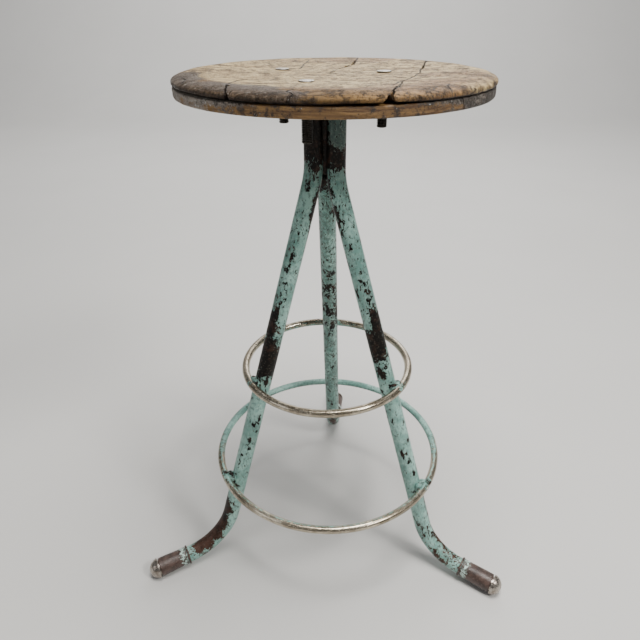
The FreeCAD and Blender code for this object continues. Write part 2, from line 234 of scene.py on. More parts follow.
def disc(name, inner, outer, foot, top, roundings=(0, 0, 0, 0), around=96, x=0.0, y=0.0):
    """A turned plate, washer or rod with a rectangular section; inner 0 makes it solid."""
    places = ((inner, foot), (outer, foot), (outer, top), (inner, top))
    corners = [(*corner, rounding) for corner, rounding in zip(places, roundings)]
    return lathe(name, corners, around, inner > 0, x, y)


def respaced(line, spacing, extra):
    """A line's points spread evenly along its first two columns; the other columns are carried along."""
    steps = np.linalg.norm(np.diff(line[:, :2], axis=0), axis=1)
    run = np.concatenate(([0.0], np.cumsum(steps)))
    even = np.linspace(0, run[-1], int(run[-1] / spacing) + extra)
    return np.stack([np.interp(even, run, column) for column in line.T], axis=1)


def evaluated_mesh(thing):
    """The thing's mesh with its modifiers made permanent."""
    shown = thing.evaluated_get(bpy.context.evaluated_depsgraph_get())
    return bpy.data.meshes.new_from_object(shown)


def joined(name, meshes):
    """One mesh from several."""
    work = bmesh.new()
    for mesh in meshes:
        work.from_mesh(mesh)
    whole = bpy.data.meshes.new(name)
    work.to_mesh(whole)
    work.free()
    return whole


def carved(name, mesh, cutter):
    """The mesh with the cutter's shape taken out of it."""
    body = place(name + "_uncut", mesh)
    tool = place(name + "_cutter", cutter)
    modifier = body.modifiers.new("cut", "BOOLEAN")
    modifier.operation = "DIFFERENCE"
    modifier.solver = "EXACT"
    modifier.use_self = True
    modifier.object = tool
    result = evaluated_mesh(body)
    bpy.data.objects.remove(body)
    bpy.data.objects.remove(tool)
    return result


def merged_blobs(name, spheres, cell=0.7):
    """Weld metal: spheres of (x, y, z, radius) melted into one lumpy skin."""
    work = bmesh.new()
    for x, y, z, radius in spheres:
        spot = Matrix.Translation(Vector((x, y, z)) * MM)
        bmesh.ops.create_icosphere(work, subdivisions=3, radius=radius * MM, matrix=spot)
    mesh = bpy.data.meshes.new(name)
    work.to_mesh(mesh)
    work.free()
    lump = place(name + "_rough", mesh)
    melt = lump.modifiers.new("melt", "REMESH")
    melt.mode = "VOXEL"
    melt.voxel_size = cell * MM
    settle = lump.modifiers.new("settle", "SMOOTH")
    settle.iterations = 2
    result = evaluated_mesh(lump)
    bpy.data.objects.remove(lump)
    for vertex in result.vertices:
        ripple = noise.noise(vertex.co * 420.0) + 0.5 * noise.noise(vertex.co * 1100.0)
        vertex.co += vertex.normal * ripple * 0.25 * MM
    return result


def turned(mesh, angle):
    """A copy of a mesh turned about the stool's axis by degrees."""
    copy = mesh.copy()
    copy.transform(Matrix.Rotation(math.radians(angle), 4, "Z"))
    return copy


def points_of(mesh):
    """The mesh's points as an array, in millimetres."""
    flat = np.empty(len(mesh.vertices) * 3)
    mesh.vertices.foreach_get("co", flat)
    return flat.reshape(-1, 3) / MM


def give_values(mesh, name, values):
    """Stores one number per point for a material to read; a single number goes to every point."""
    values = values * np.ones(len(mesh.vertices))
    layer = mesh.attributes.new(name, "FLOAT", "POINT")
    layer.data.foreach_set("value", np.clip(values, 0.0, 1.0).astype(np.float32))


def piece(name, mesh, body, slot, material, *nodes, sharp_angle=38.0, flat=False):
    """A finished piece on its body, with its material; the CAD nodes it stands for are hidden.

    Flat keeps its flat faces flat under smooth shading.
    """
    thing = place(name, mesh, sharp_angle)
    if flat:
        modifier = thing.modifiers.new("flat faces", "WEIGHTED_NORMAL")
        modifier.keep_sharp = True
    thing.data.materials.clear()
    thing.data.materials.append(material)
    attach(thing, body)
    if nodes:
        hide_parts(*nodes)


# --- materials ---

class Recipe:
    """A material's node graph, built one step at a time."""

    def __init__(self, name):
        self.material = bpy.data.materials.new(name)
        self.material.use_nodes = True
        self.tree = self.material.node_tree
        self.shader = self.tree.nodes["Principled BSDF"]
        self.place = self.tree.nodes.new("ShaderNodeTexCoord").outputs["Object"]

    def feed(self, socket, value):
        """Links a value to a socket, or sets it when it is a plain number or colour."""
        if isinstance(value, bpy.types.NodeSocket):
            self.tree.links.new(value, socket)
        elif isinstance(value, tuple) and len(value) == 3 and socket.type == "RGBA":
            socket.default_value = (*value, 1.0)
        else:
            socket.default_value = value

    def attribute(self, name):
        node = self.tree.nodes.new("ShaderNodeAttribute")
        node.attribute_name = name
        return node.outputs["Fac"]

    def stretched(self, scale, origin=(0.0, 0.0, 0.0)):
        """Object coordinates scaled along each axis."""
        node = self.tree.nodes.new("ShaderNodeMapping")
        node.inputs["Scale"].default_value = scale
        node.inputs["Location"].default_value = origin
        self.tree.links.new(self.place, node.inputs["Vector"])
        return node.outputs["Vector"]

    def noise(self, scale, detail=3.0, roughness=0.55, distortion=0.0, at=None):
        node = self.tree.nodes.new("ShaderNodeTexNoise")
        node.inputs["Scale"].default_value = scale
        node.inputs["Detail"].default_value = detail
        node.inputs["Roughness"].default_value = roughness
        node.inputs["Distortion"].default_value = distortion
        self.tree.links.new(at or self.place, node.inputs["Vector"])
        return node.outputs["Fac"]

    def shards(self, scale, at=None):
        """One random value for each small angular cell."""
        node = self.tree.nodes.new("ShaderNodeTexVoronoi")
        node.inputs["Scale"].default_value = scale
        self.tree.links.new(at or self.place, node.inputs["Vector"])
        split = self.tree.nodes.new("ShaderNodeSeparateColor")
        self.tree.links.new(node.outputs["Color"], split.inputs["Color"])
        return split.outputs["Red"]

    def sum(self, *values):
        return self.chain("ADD", values)

    def product(self, *values):
        return self.chain("MULTIPLY", values)

    def centred(self, value, weight):
        """A noise value swung about nought, times a weight."""
        return self.product(self.sum(value, -0.5), weight)

    def highest(self, *values):
        return self.chain("MAXIMUM", values)

    def chain(self, operation, values):
        total = values[0]
        for value in values[1:]:
            node = self.tree.nodes.new("ShaderNodeMath")
            node.operation = operation
            self.feed(node.inputs[0], total)
            self.feed(node.inputs[1], value)
            total = node.outputs[0]
        return total

    def ramp(self, value, low, high, bottom=0.0, top=1.0):
        """Rises smoothly from bottom to top while value goes from low to high."""
        node = self.tree.nodes.new("ShaderNodeMapRange")
        node.interpolation_type = "SMOOTHSTEP"
        self.feed(node.inputs["Value"], value)
        node.inputs["From Min"].default_value = low
        node.inputs["From Max"].default_value = high
        node.inputs["To Min"].default_value = bottom
        node.inputs["To Max"].default_value = top
        return node.outputs["Result"]

    def blend(self, share, first, second):
        """Colour that goes from first to second as share rises."""
        node = self.tree.nodes.new("ShaderNodeMix")
        node.data_type = "RGBA"
        self.feed(node.inputs[0], share)
        self.feed(node.inputs[6], first)
        self.feed(node.inputs[7], second)
        return node.outputs[2]

    def spread(self, value, low, high, first, second, top=1.0):
        """Colour that goes from first towards second, as far as top, as value rises."""
        return self.blend(self.ramp(value, low, high, 0.0, top), first, second)

    def bump(self, height, distance, strength=1.0, under=None):
        node = self.tree.nodes.new("ShaderNodeBump")
        node.inputs["Strength"].default_value = strength
        node.inputs["Distance"].default_value = distance
        self.feed(node.inputs["Height"], height)
        if under is not None:
            self.tree.links.new(under, node.inputs["Normal"])
        return node.outputs["Normal"]

    def finish(self, **sockets):
        """Sets the surface's own sockets by their names."""
        for name, value in sockets.items():
            self.feed(self.shader.inputs[name.replace("_", " ")], value)
        return self.material


# Colours, as linear red, green and blue
PAINT = (0.160, 0.330, 0.284)
PAINT_PALE = (0.330, 0.556, 0.488)
PAINT_GRIMY = (0.075, 0.130, 0.110)
PAINT_RIM = (0.500, 0.660, 0.590)
# Painted shade: the paint's colour where the seat's shadow falls on the legs' tops
PAINT_SEAT_SHADE = (0.016, 0.026, 0.021)
DARK_STEEL = (0.007, 0.006, 0.005)
RUST = (0.036, 0.019, 0.013)
RED_BROWN = (0.085, 0.044, 0.032)
WORN_STEEL = (0.120, 0.100, 0.083)
ROD_DULL = (0.320, 0.272, 0.200)
ROD_BRIGHT = (0.600, 0.535, 0.420)
ROD_STAIN = (0.150, 0.098, 0.066)
ROD_PIT = (0.050, 0.032, 0.022)
ROD_BLACK = (0.020, 0.016, 0.013)
ROD_PAINT_EDGE = (0.034, 0.024, 0.018)
SLEEVE_DARK = (0.030, 0.017, 0.013)
SLEEVE_BROWN = (0.088, 0.053, 0.042)
SLEEVE_SCUFF = (0.210, 0.160, 0.135)
METAL_PIT = (0.02, 0.014, 0.010)
METAL_SHADE = (0.012, 0.009, 0.007)
WOOD_TAN = (0.245, 0.156, 0.058)
WOOD_STRAW = (0.570, 0.430, 0.210)
WOOD_SAND = (0.440, 0.335, 0.175)
WOOD_BLOTCH = (0.150, 0.094, 0.044)
WOOD_SPOT = (0.045, 0.028, 0.016)
GRAIN_PORE = (0.050, 0.030, 0.016)
# Dark at the cracks' edges, and painted shade inside the cuts and along the seam
CRACK_DARK = (0.016, 0.010, 0.007)
VARNISH_DARK = (0.105, 0.050, 0.016)
VARNISH_OCHRE = (0.300, 0.165, 0.055)
VARNISH_BLOTCH = (0.080, 0.046, 0.019)
# Painted shade down the front of the rim's roll, mottled brown to dark
ROLL_SHADE_BROWN = (0.118, 0.070, 0.026)
ROLL_SHADE_DARK = (0.046, 0.028, 0.012)
BURNT_BLACK = (0.018, 0.012, 0.008)
BURNT_BROWN = (0.128, 0.090, 0.062)
# Painted highlight: pale streaks of reflection on the glossy dark stains
HIGHLIGHT_STREAK_WHITE = (0.60, 0.56, 0.50)
EDGE_BROWN = (0.085, 0.040, 0.014)
EDGE_OCHRE = (0.270, 0.150, 0.050)
EDGE_BLOTCH = (0.055, 0.030, 0.014)
EDGE_BLACK = (0.020, 0.015, 0.011)
EDGE_GREY = (0.340, 0.285, 0.235)
EDGE_SPECK = (0.022, 0.014, 0.009)
EDGE_CHIP = (0.62, 0.60, 0.55)


def bare_steel_colour(recipe):
    """Old steel that lost its paint: near black, with red-brown rust and grey rubbed specks."""
    rusty = recipe.sum(recipe.noise(75.0, 7.0, 0.75), recipe.product(recipe.attribute("rust"), 0.30))
    steel = recipe.spread(rusty, 0.50, 0.60, DARK_STEEL, RUST)
    steel = recipe.spread(rusty, 0.62, 0.80, steel, RED_BROWN)
    rubbed = recipe.ramp(recipe.noise(420.0, 7.0, 0.8), 0.55, 0.62, 0.0, 0.75)
    return recipe.blend(rubbed, steel, WORN_STEEL)


def paint_colour(recipe, grime_and_shade=0.0):
    """Blue-green paint, faded in clouds, dulled by grime (on the rear leg also painted shade), peppered with
    dark specks and darkened by painted shade under the seat.
    """
    faded = recipe.ramp(recipe.noise(30.0, 7.0, 0.72), 0.40, 0.60)
    colour = recipe.blend(faded, PAINT, PAINT_PALE)
    dirt = recipe.noise(260.0, 8.0, 0.85, at=recipe.stretched((1.0, 1.0, 0.5)))
    # This value moves the dirt threshold: grime, and on the rear leg also painted shade from the seat
    colour = recipe.spread(dirt, 0.52 - grime_and_shade, 0.58 - grime_and_shade, colour, PAINT_GRIMY, 0.75)
    scuffs = recipe.noise(620.0, 5.0, 0.75, at=recipe.stretched((1.0, 1.0, 0.4)))
    colour = recipe.spread(scuffs, 0.58, 0.66, colour, PAINT_RIM, 0.7)
    # Painted shade: the paint darkens under the seat by this value
    return recipe.blend(recipe.product(recipe.attribute("seat_shade"), 0.82), colour, PAINT_SEAT_SHADE)


def chipped_paint(name, chips=0.36, grime_and_shade=0.0, scatter=0.600):
    """Paint over bare steel, missing wherever the wear value and several sizes of noise add up.

    Small chips are scattered all over, wherever a finer noise passes the scatter level.
    """
    recipe = Recipe(name)
    wear = recipe.attribute("wear")
    tall = recipe.stretched((1.0, 1.0, 0.6))
    patches = recipe.noise(95.0, 7.0, 0.72, 0.25, at=tall)
    flakes = recipe.noise(380.0, 6.0, 0.78, at=tall)
    shards = recipe.shards(620.0, at=tall)
    missing = recipe.sum(
        recipe.product(wear, 0.85),
        recipe.centred(patches, 1.0),
        recipe.centred(flakes, 0.9),
        recipe.centred(shards, 0.25),
    )
    small = recipe.sum(
        recipe.noise(300.0, 5.0, 0.72, at=recipe.stretched((1.0, 1.0, 0.55), (3.1, 1.7, 0.4))),
        recipe.centred(patches, 0.55), recipe.product(wear, 0.16))
    bare = recipe.highest(recipe.ramp(missing, chips, chips + 0.012),
                          recipe.ramp(small, scatter, scatter + 0.010))
    rim = recipe.highest(recipe.ramp(missing, chips - 0.05, chips - 0.005),
                         recipe.ramp(small, scatter - 0.03, scatter - 0.004))
    paint = recipe.blend(recipe.product(rim, 0.65), paint_colour(recipe, grime_and_shade), PAINT_RIM)
    colour = recipe.blend(bare, paint, bare_steel_colour(recipe))
    grit = recipe.noise(1500.0, 3.0, 0.6)
    relief = recipe.sum(recipe.product(bare, -1.0), recipe.product(grit, 0.35))
    normal = recipe.bump(relief, 0.0004, 1.0)
    orange_peel = recipe.noise(240.0, 3.0)
    normal = recipe.bump(orange_peel, 0.0006, 0.35, under=normal)
    gloss = recipe.noise(300.0, 4.0, 0.7)
    roughness = recipe.blend(bare, recipe.ramp(gloss, 0.3, 0.7, 0.26, 0.50),
                             recipe.ramp(gloss, 0.3, 0.7, 0.30, 0.60))
    return recipe.finish(
        Base_Color=colour, Roughness=roughness, Metallic=recipe.product(bare, 0.35), Normal=normal,
        Specular_IOR_Level=recipe.ramp(bare, 0.0, 1.0, 0.5, 0.25))


def worn_rod(name):
    """Footrest rings: rubbed steel with brown pits, painted shade along the rod's underside, and paint left
    where feet never rest.
    """
    recipe = Recipe(name)
    cloudy = recipe.ramp(recipe.noise(45.0, 6.0, 0.65), 0.38, 0.64)
    steel = recipe.blend(cloudy, ROD_DULL, ROD_BRIGHT)
    stains = recipe.ramp(recipe.noise(150.0, 8.0, 0.78), 0.55, 0.66, 0.0, 0.75)
    steel = recipe.blend(stains, steel, ROD_STAIN)
    pits = recipe.ramp(recipe.noise(620.0, 6.0, 0.78), 0.55, 0.61)
    steel = recipe.blend(recipe.product(pits, 0.85), steel, ROD_PIT)
    # Painted shade: the dark value blackens the rod's underside; it also darkens the rod at the back and
    # beside the legs
    grime_and_shade = recipe.sum(recipe.attribute("dark"), recipe.centred(recipe.noise(190.0, 7.0, 0.8), 1.6))
    blackened_and_shaded = recipe.ramp(grime_and_shade, 0.42, 0.50)
    steel = recipe.blend(blackened_and_shaded, steel, ROD_BLACK)
    kept = recipe.attribute("paint")
    patches = recipe.noise(150.0, 7.0, 0.75)
    flakes = recipe.noise(560.0, 5.0, 0.78)
    shards = recipe.shards(700.0)
    left = recipe.sum(
        recipe.product(kept, 0.9),
        recipe.centred(patches, 1.2),
        recipe.centred(flakes, 1.0),
        recipe.centred(shards, 0.25),
    )
    painted = recipe.ramp(left, 0.46, 0.475)
    edge = recipe.product(recipe.ramp(left, 0.36, 0.45), recipe.ramp(left, 0.46, 0.47, 1.0, 0.0))
    steel = recipe.blend(recipe.product(edge, 0.85), steel, ROD_PAINT_EDGE)
    colour = recipe.blend(painted, steel, paint_colour(recipe))
    relief = recipe.sum(recipe.product(painted, 0.8), recipe.product(pits, -0.5))
    normal = recipe.bump(relief, 0.0003, 0.7)
    scratches = recipe.noise(700.0, 5.0, 0.75)
    bare_roughness = recipe.ramp(scratches, 0.3, 0.7, 0.14, 0.34)
    roughness = recipe.blend(painted, bare_roughness, (0.40, 0.40, 0.40))
    rough_places = recipe.highest(painted, recipe.product(pits, 0.8), recipe.product(stains, 0.5), blackened_and_shaded)
    metallic = recipe.ramp(rough_places, 0.0, 1.0, 0.95, 0.0)
    return recipe.finish(Base_Color=colour, Roughness=roughness, Metallic=metallic, Normal=normal)


def brown_sleeve(name):
    """The foot sleeves: dull purple-brown, scuffed paler, with flecks of paint near the collar."""
    recipe = Recipe(name)
    cloud = recipe.ramp(recipe.noise(90.0, 6.0, 0.7), 0.36, 0.66)
    colour = recipe.blend(cloud, SLEEVE_DARK, SLEEVE_BROWN)
    scuffs = recipe.ramp(recipe.noise(420.0, 6.0, 0.78), 0.56, 0.66, 0.0, 0.6)
    colour = recipe.blend(scuffs, colour, SLEEVE_SCUFF)
    flecks = recipe.sum(
        recipe.product(recipe.attribute("painted"), 0.26),
        recipe.noise(360.0, 6.0, 0.80),
        recipe.product(recipe.shards(560.0), 0.08))
    painted = recipe.ramp(flecks, 0.735, 0.745)
    colour = recipe.blend(painted, colour, PAINT_RIM)
    relief = recipe.sum(recipe.noise(520.0, 5.0, 0.75), recipe.product(painted, 0.4))
    normal = recipe.bump(relief, 0.0006, 0.6)
    roughness = recipe.ramp(recipe.noise(200.0, 4.0), 0.3, 0.7, 0.28, 0.50)
    return recipe.finish(Base_Color=colour, Roughness=roughness, Normal=normal)


def rubbed_metal(name, dark, bright, stain, roughness, pit_scale):
    """Bare metal parts: a bright ground, darker clouds, brown stain and small pits."""
    recipe = Recipe(name)
    cloud = recipe.ramp(recipe.noise(120.0, 5.0, 0.65), 0.35, 0.68)
    colour = recipe.blend(cloud, bright, dark)
    browned = recipe.ramp(recipe.noise(210.0, 5.0, 0.7), 0.54, 0.70, 0.0, 0.85)
    colour = recipe.blend(browned, colour, stain)
    pits = recipe.ramp(recipe.noise(pit_scale, 4.0, 0.7), 0.60, 0.70)
    colour = recipe.blend(recipe.product(pits, 0.8), colour, METAL_PIT)
    shaded = recipe.attribute("dark")
    colour = recipe.blend(recipe.product(shaded, 0.93), colour, METAL_SHADE)
    scratches = recipe.noise(1.0, 4.0, 0.7, at=recipe.stretched((900.0, 220.0, 900.0)))
    relief = recipe.sum(recipe.product(pits, -1.0), recipe.product(scratches, 0.25))
    normal = recipe.bump(relief, 0.0002, 0.7)
    shine = recipe.ramp(recipe.noise(260.0, 4.0), 0.3, 0.7, *roughness)
    metallic = recipe.ramp(recipe.highest(browned, pits), 0.0, 1.0, 0.95, 0.35)
    return recipe.finish(Base_Color=colour, Roughness=shine, Metallic=metallic, Normal=normal)


# Bare metals: darker clouds, bright ground, brown stain, roughness range and size of the pits
METALS = {
    "dome_steel": ((0.24, 0.20, 0.17), (0.46, 0.42, 0.37), (0.17, 0.12, 0.09), (0.20, 0.40), 900.0),
    "bolt_steel": ((0.50, 0.46, 0.40), (0.78, 0.73, 0.65), (0.24, 0.17, 0.12), (0.22, 0.44), 700.0),
    "flange_steel": ((0.035, 0.028, 0.025), (0.11, 0.095, 0.085), (0.070, 0.032, 0.020), (0.35, 0.6), 700.0),
    "oiled_steel": ((0.10, 0.085, 0.075), (0.34, 0.32, 0.30), (0.09, 0.055, 0.035), (0.22, 0.42), 700.0),
}


def seat_wood(name):
    """The upper board: worn tan dish, ochre and dark stained rim, open grain and small pits, with painted
    shade down the front roll and in the cracks, and painted highlight streaks on the dark stains.
    """
    recipe = Recipe(name)
    grain = recipe.noise(1.0, 9.0, 0.70, 0.9, at=recipe.stretched((9.0, 85.0, 50.0)))
    mottle = recipe.noise(30.0, 8.0, 0.72)
    blotches = recipe.noise(85.0, 8.0, 0.78)
    fine = recipe.noise(300.0, 6.0, 0.78)
    ochre = recipe.attribute("ochre")
    dark = recipe.attribute("dark")
    crack = recipe.attribute("crack")

    worn = recipe.spread(grain, 0.36, 0.64, WOOD_TAN, WOOD_STRAW)
    worn = recipe.spread(mottle, 0.42, 0.62, worn, WOOD_SAND, 0.6)
    worn = recipe.spread(blotches, 0.50, 0.57, worn, WOOD_BLOTCH, 0.80)
    varnished = recipe.spread(grain, 0.36, 0.62, VARNISH_DARK, VARNISH_OCHRE)
    varnished = recipe.spread(blotches, 0.49, 0.60, varnished, VARNISH_BLOTCH, 0.85)
    ochre_share = recipe.ramp(recipe.sum(ochre, recipe.centred(mottle, 1.6)), 0.30, 0.66)
    colour = recipe.blend(ochre_share, worn, varnished)
    # Painted shade: the roll value darkens the front of the rim where it turns down
    roll = recipe.attribute("roll")
    roll_shade_colour = recipe.spread(blotches, 0.44, 0.56, ROLL_SHADE_BROWN, ROLL_SHADE_DARK)
    colour = recipe.blend(recipe.product(roll, 0.95), colour, roll_shade_colour)
    burnt = recipe.spread(fine, 0.42, 0.60, BURNT_BLACK, BURNT_BROWN)
    dark_level = recipe.sum(dark, recipe.centred(mottle, 1.2), recipe.centred(blotches, 0.9),
                            recipe.centred(fine, 0.5))
    dark_share = recipe.ramp(dark_level, 0.34, 0.62)
    colour = recipe.blend(recipe.product(dark_share, 0.88), colour, burnt)
    streaks = recipe.noise(1.0, 7.0, 0.78, 0.6, at=recipe.stretched((60.0, 420.0, 220.0)))
    open_grain = recipe.ramp(streaks, 0.545, 0.60, 0.0, 0.85)
    colour = recipe.blend(open_grain, colour, GRAIN_PORE)
    spots = recipe.ramp(recipe.sum(fine, recipe.centred(blotches, 0.5)), 0.550, 0.60, 0.0, 0.85)
    colour = recipe.blend(spots, colour, WOOD_SPOT)
    # Dark at the cracks' edges, and painted shade inside the cuts and along the seam, from the crack value
    colour = recipe.spread(crack, 0.30, 0.95, colour, CRACK_DARK, 0.94)
    # Painted highlight: pale streaks of reflection across the glossy dark stains
    highlight_streaks = recipe.noise(1.0, 6.0, 0.8, at=recipe.stretched((140.0, 420.0, 420.0)))
    streak_highlight = recipe.ramp(highlight_streaks, 0.60, 0.65, 0.0, 0.7)
    colour = recipe.blend(recipe.product(streak_highlight, dark_share), colour, HIGHLIGHT_STREAK_WHITE)

    relief = recipe.sum(
        recipe.product(grain, 0.5), recipe.product(open_grain, -0.8), recipe.product(blotches, 0.7),
        recipe.product(fine, 0.3), recipe.product(spots, -0.7))
    normal = recipe.bump(relief, 0.0020, 1.0)
    shine = recipe.blend(dark_share, recipe.ramp(blotches, 0.35, 0.7, 0.44, 0.66),
                         recipe.ramp(blotches, 0.35, 0.7, 0.28, 0.50))
    reflection = recipe.ramp(recipe.highest(roll, dark_share), 0.0, 0.8, 0.5, 0.15)
    return recipe.finish(Base_Color=colour, Roughness=shine, Normal=normal, Specular_IOR_Level=reflection)


def board_edge_wood(name):
    """The lower board: ochre plywood darkened at its top edge, left and right, with a few pale flecks."""
    recipe = Recipe(name)
    grain = recipe.noise(1.0, 8.0, 0.72, 0.8, at=recipe.stretched((18.0, 18.0, 230.0)))
    mottle = recipe.noise(60.0, 8.0, 0.75)
    fine = recipe.noise(330.0, 7.0, 0.80)
    light = recipe.spread(grain, 0.38, 0.62, EDGE_BROWN, EDGE_OCHRE)
    light = recipe.spread(mottle, 0.50, 0.58, light, EDGE_BLOTCH, 0.85)
    paleness = recipe.sum(fine, recipe.product(recipe.attribute("pale"), 0.13))
    shade = recipe.spread(paleness, 0.48, 0.62, EDGE_BLACK, EDGE_GREY)
    darkness = recipe.sum(recipe.attribute("dark"), recipe.centred(mottle, 1.6), recipe.centred(fine, 0.8))
    colour = recipe.spread(darkness, 0.36, 0.60, light, shade)
    specks = recipe.ramp(recipe.sum(fine, recipe.centred(mottle, 0.6)), 0.530, 0.580, 0.0, 0.85)
    colour = recipe.blend(specks, colour, EDGE_SPECK)
    chips = recipe.sum(recipe.noise(240.0, 5.0, 0.75), recipe.product(recipe.attribute("flecks"), 0.10))
    colour = recipe.spread(chips, 0.655, 0.675, colour, EDGE_CHIP, 0.95)
    normal = recipe.bump(recipe.sum(grain, mottle, recipe.product(fine, 0.6)), 0.0012, 0.85)
    shine = recipe.ramp(recipe.noise(90.0, 4.0), 0.35, 0.7, 0.44, 0.66)
    return recipe.finish(Base_Color=colour, Roughness=shine, Normal=normal)


def studio_surface(name):
    """Plain pale floor with a very faint unevenness."""
    recipe = Recipe(name)
    cloud = recipe.noise(3.0, 4.0, 0.5)
    colour = recipe.blend(cloud, (0.55, 0.54, 0.52), (0.59, 0.58, 0.56))
    normal = recipe.bump(recipe.noise(60.0, 3.0), 0.0005, 0.1)
    return recipe.finish(Base_Color=colour, Roughness=0.62, Normal=normal)


# --- legs ---

def splay_reach(height, side):
    """Distance of a leg's straight run from the stool's axis at a height."""
    return CLUSTER_RADIUS + SPLAY_SLOPES[side] * (CLUSTER_CORNER_HEIGHTS[side] - height)


def foot_drop(side):
    return math.radians(FOOT_DROP_ANGLES[side])


def foot_corner(side):
    """Where the splayed run and the foot's run would meet without their bend, as (reach, height)."""
    fall = math.tan(foot_drop(side))
    run_from_floor_line = DOME_REACHES[side] - splay_reach(0, side)
    height = (DOME_CENTRE_HEIGHT + run_from_floor_line * fall) / (1 - SPLAY_SLOPES[side] * fall)
    return np.array((splay_reach(height, side), height))


def along_foot(distance, side):
    drop = foot_drop(side)
    return np.array((math.cos(drop), -math.sin(drop))) * distance


def bend_setback(side):
    """Length along the foot's run that its bend takes up."""
    turn = math.pi / 2 - math.atan(SPLAY_SLOPES[side]) - foot_drop(side)
    return FOOT_BEND_RADII[side] * math.tan(turn / 2)


def foot_start(side):
    """The inner end of the foot's straight run, as (reach, height)."""
    return foot_corner(side) + along_foot(bend_setback(side), side)


def dome_base(side):
    """Distance from foot_start to the flat back of the glide's dome."""
    run = (DOME_REACHES[side] - foot_corner(side)[0]) / math.cos(foot_drop(side))
    return run - bend_setback(side) + DOME_SETBACK


def bend(before, corner, after, radius):
    """Points along the arc that rounds a corner between two straight runs."""
    back = (before - corner) / np.linalg.norm(before - corner)
    ahead = (after - corner) / np.linalg.norm(after - corner)
    half_angle = math.acos(back @ ahead) / 2
    bisector = (back + ahead) / np.linalg.norm(back + ahead)
    centre = corner + bisector * radius / math.sin(half_angle)
    start = corner + back * radius / math.tan(half_angle) - centre
    turn = math.pi - 2 * half_angle
    if back[0] * ahead[1] - back[1] * ahead[0] > 0:
        turn = -turn
    steps = np.linspace(0, turn, 40)
    return [centre + np.array((start[0] * math.cos(s) - start[1] * math.sin(s),
                               start[0] * math.sin(s) + start[1] * math.cos(s))) for s in steps]


def leg_centreline(side, step=1.6):
    """Evenly spaced (reach, height) points down a leg."""
    tube_end = dome_base(side) - NECK_LENGTH - TUBE_END_SETBACK
    top = np.array((CLUSTER_RADIUS, LEG_TOP))
    cluster_corner = np.array((CLUSTER_RADIUS, CLUSTER_CORNER_HEIGHTS[side]))
    end = foot_start(side) + along_foot(tube_end, side)
    path = [top]
    path += bend(top, cluster_corner, foot_corner(side), TOP_BEND_RADIUS)
    path += bend(cluster_corner, foot_corner(side), end, FOOT_BEND_RADII[side])
    return respaced(np.array(path + [end]), step, 1)


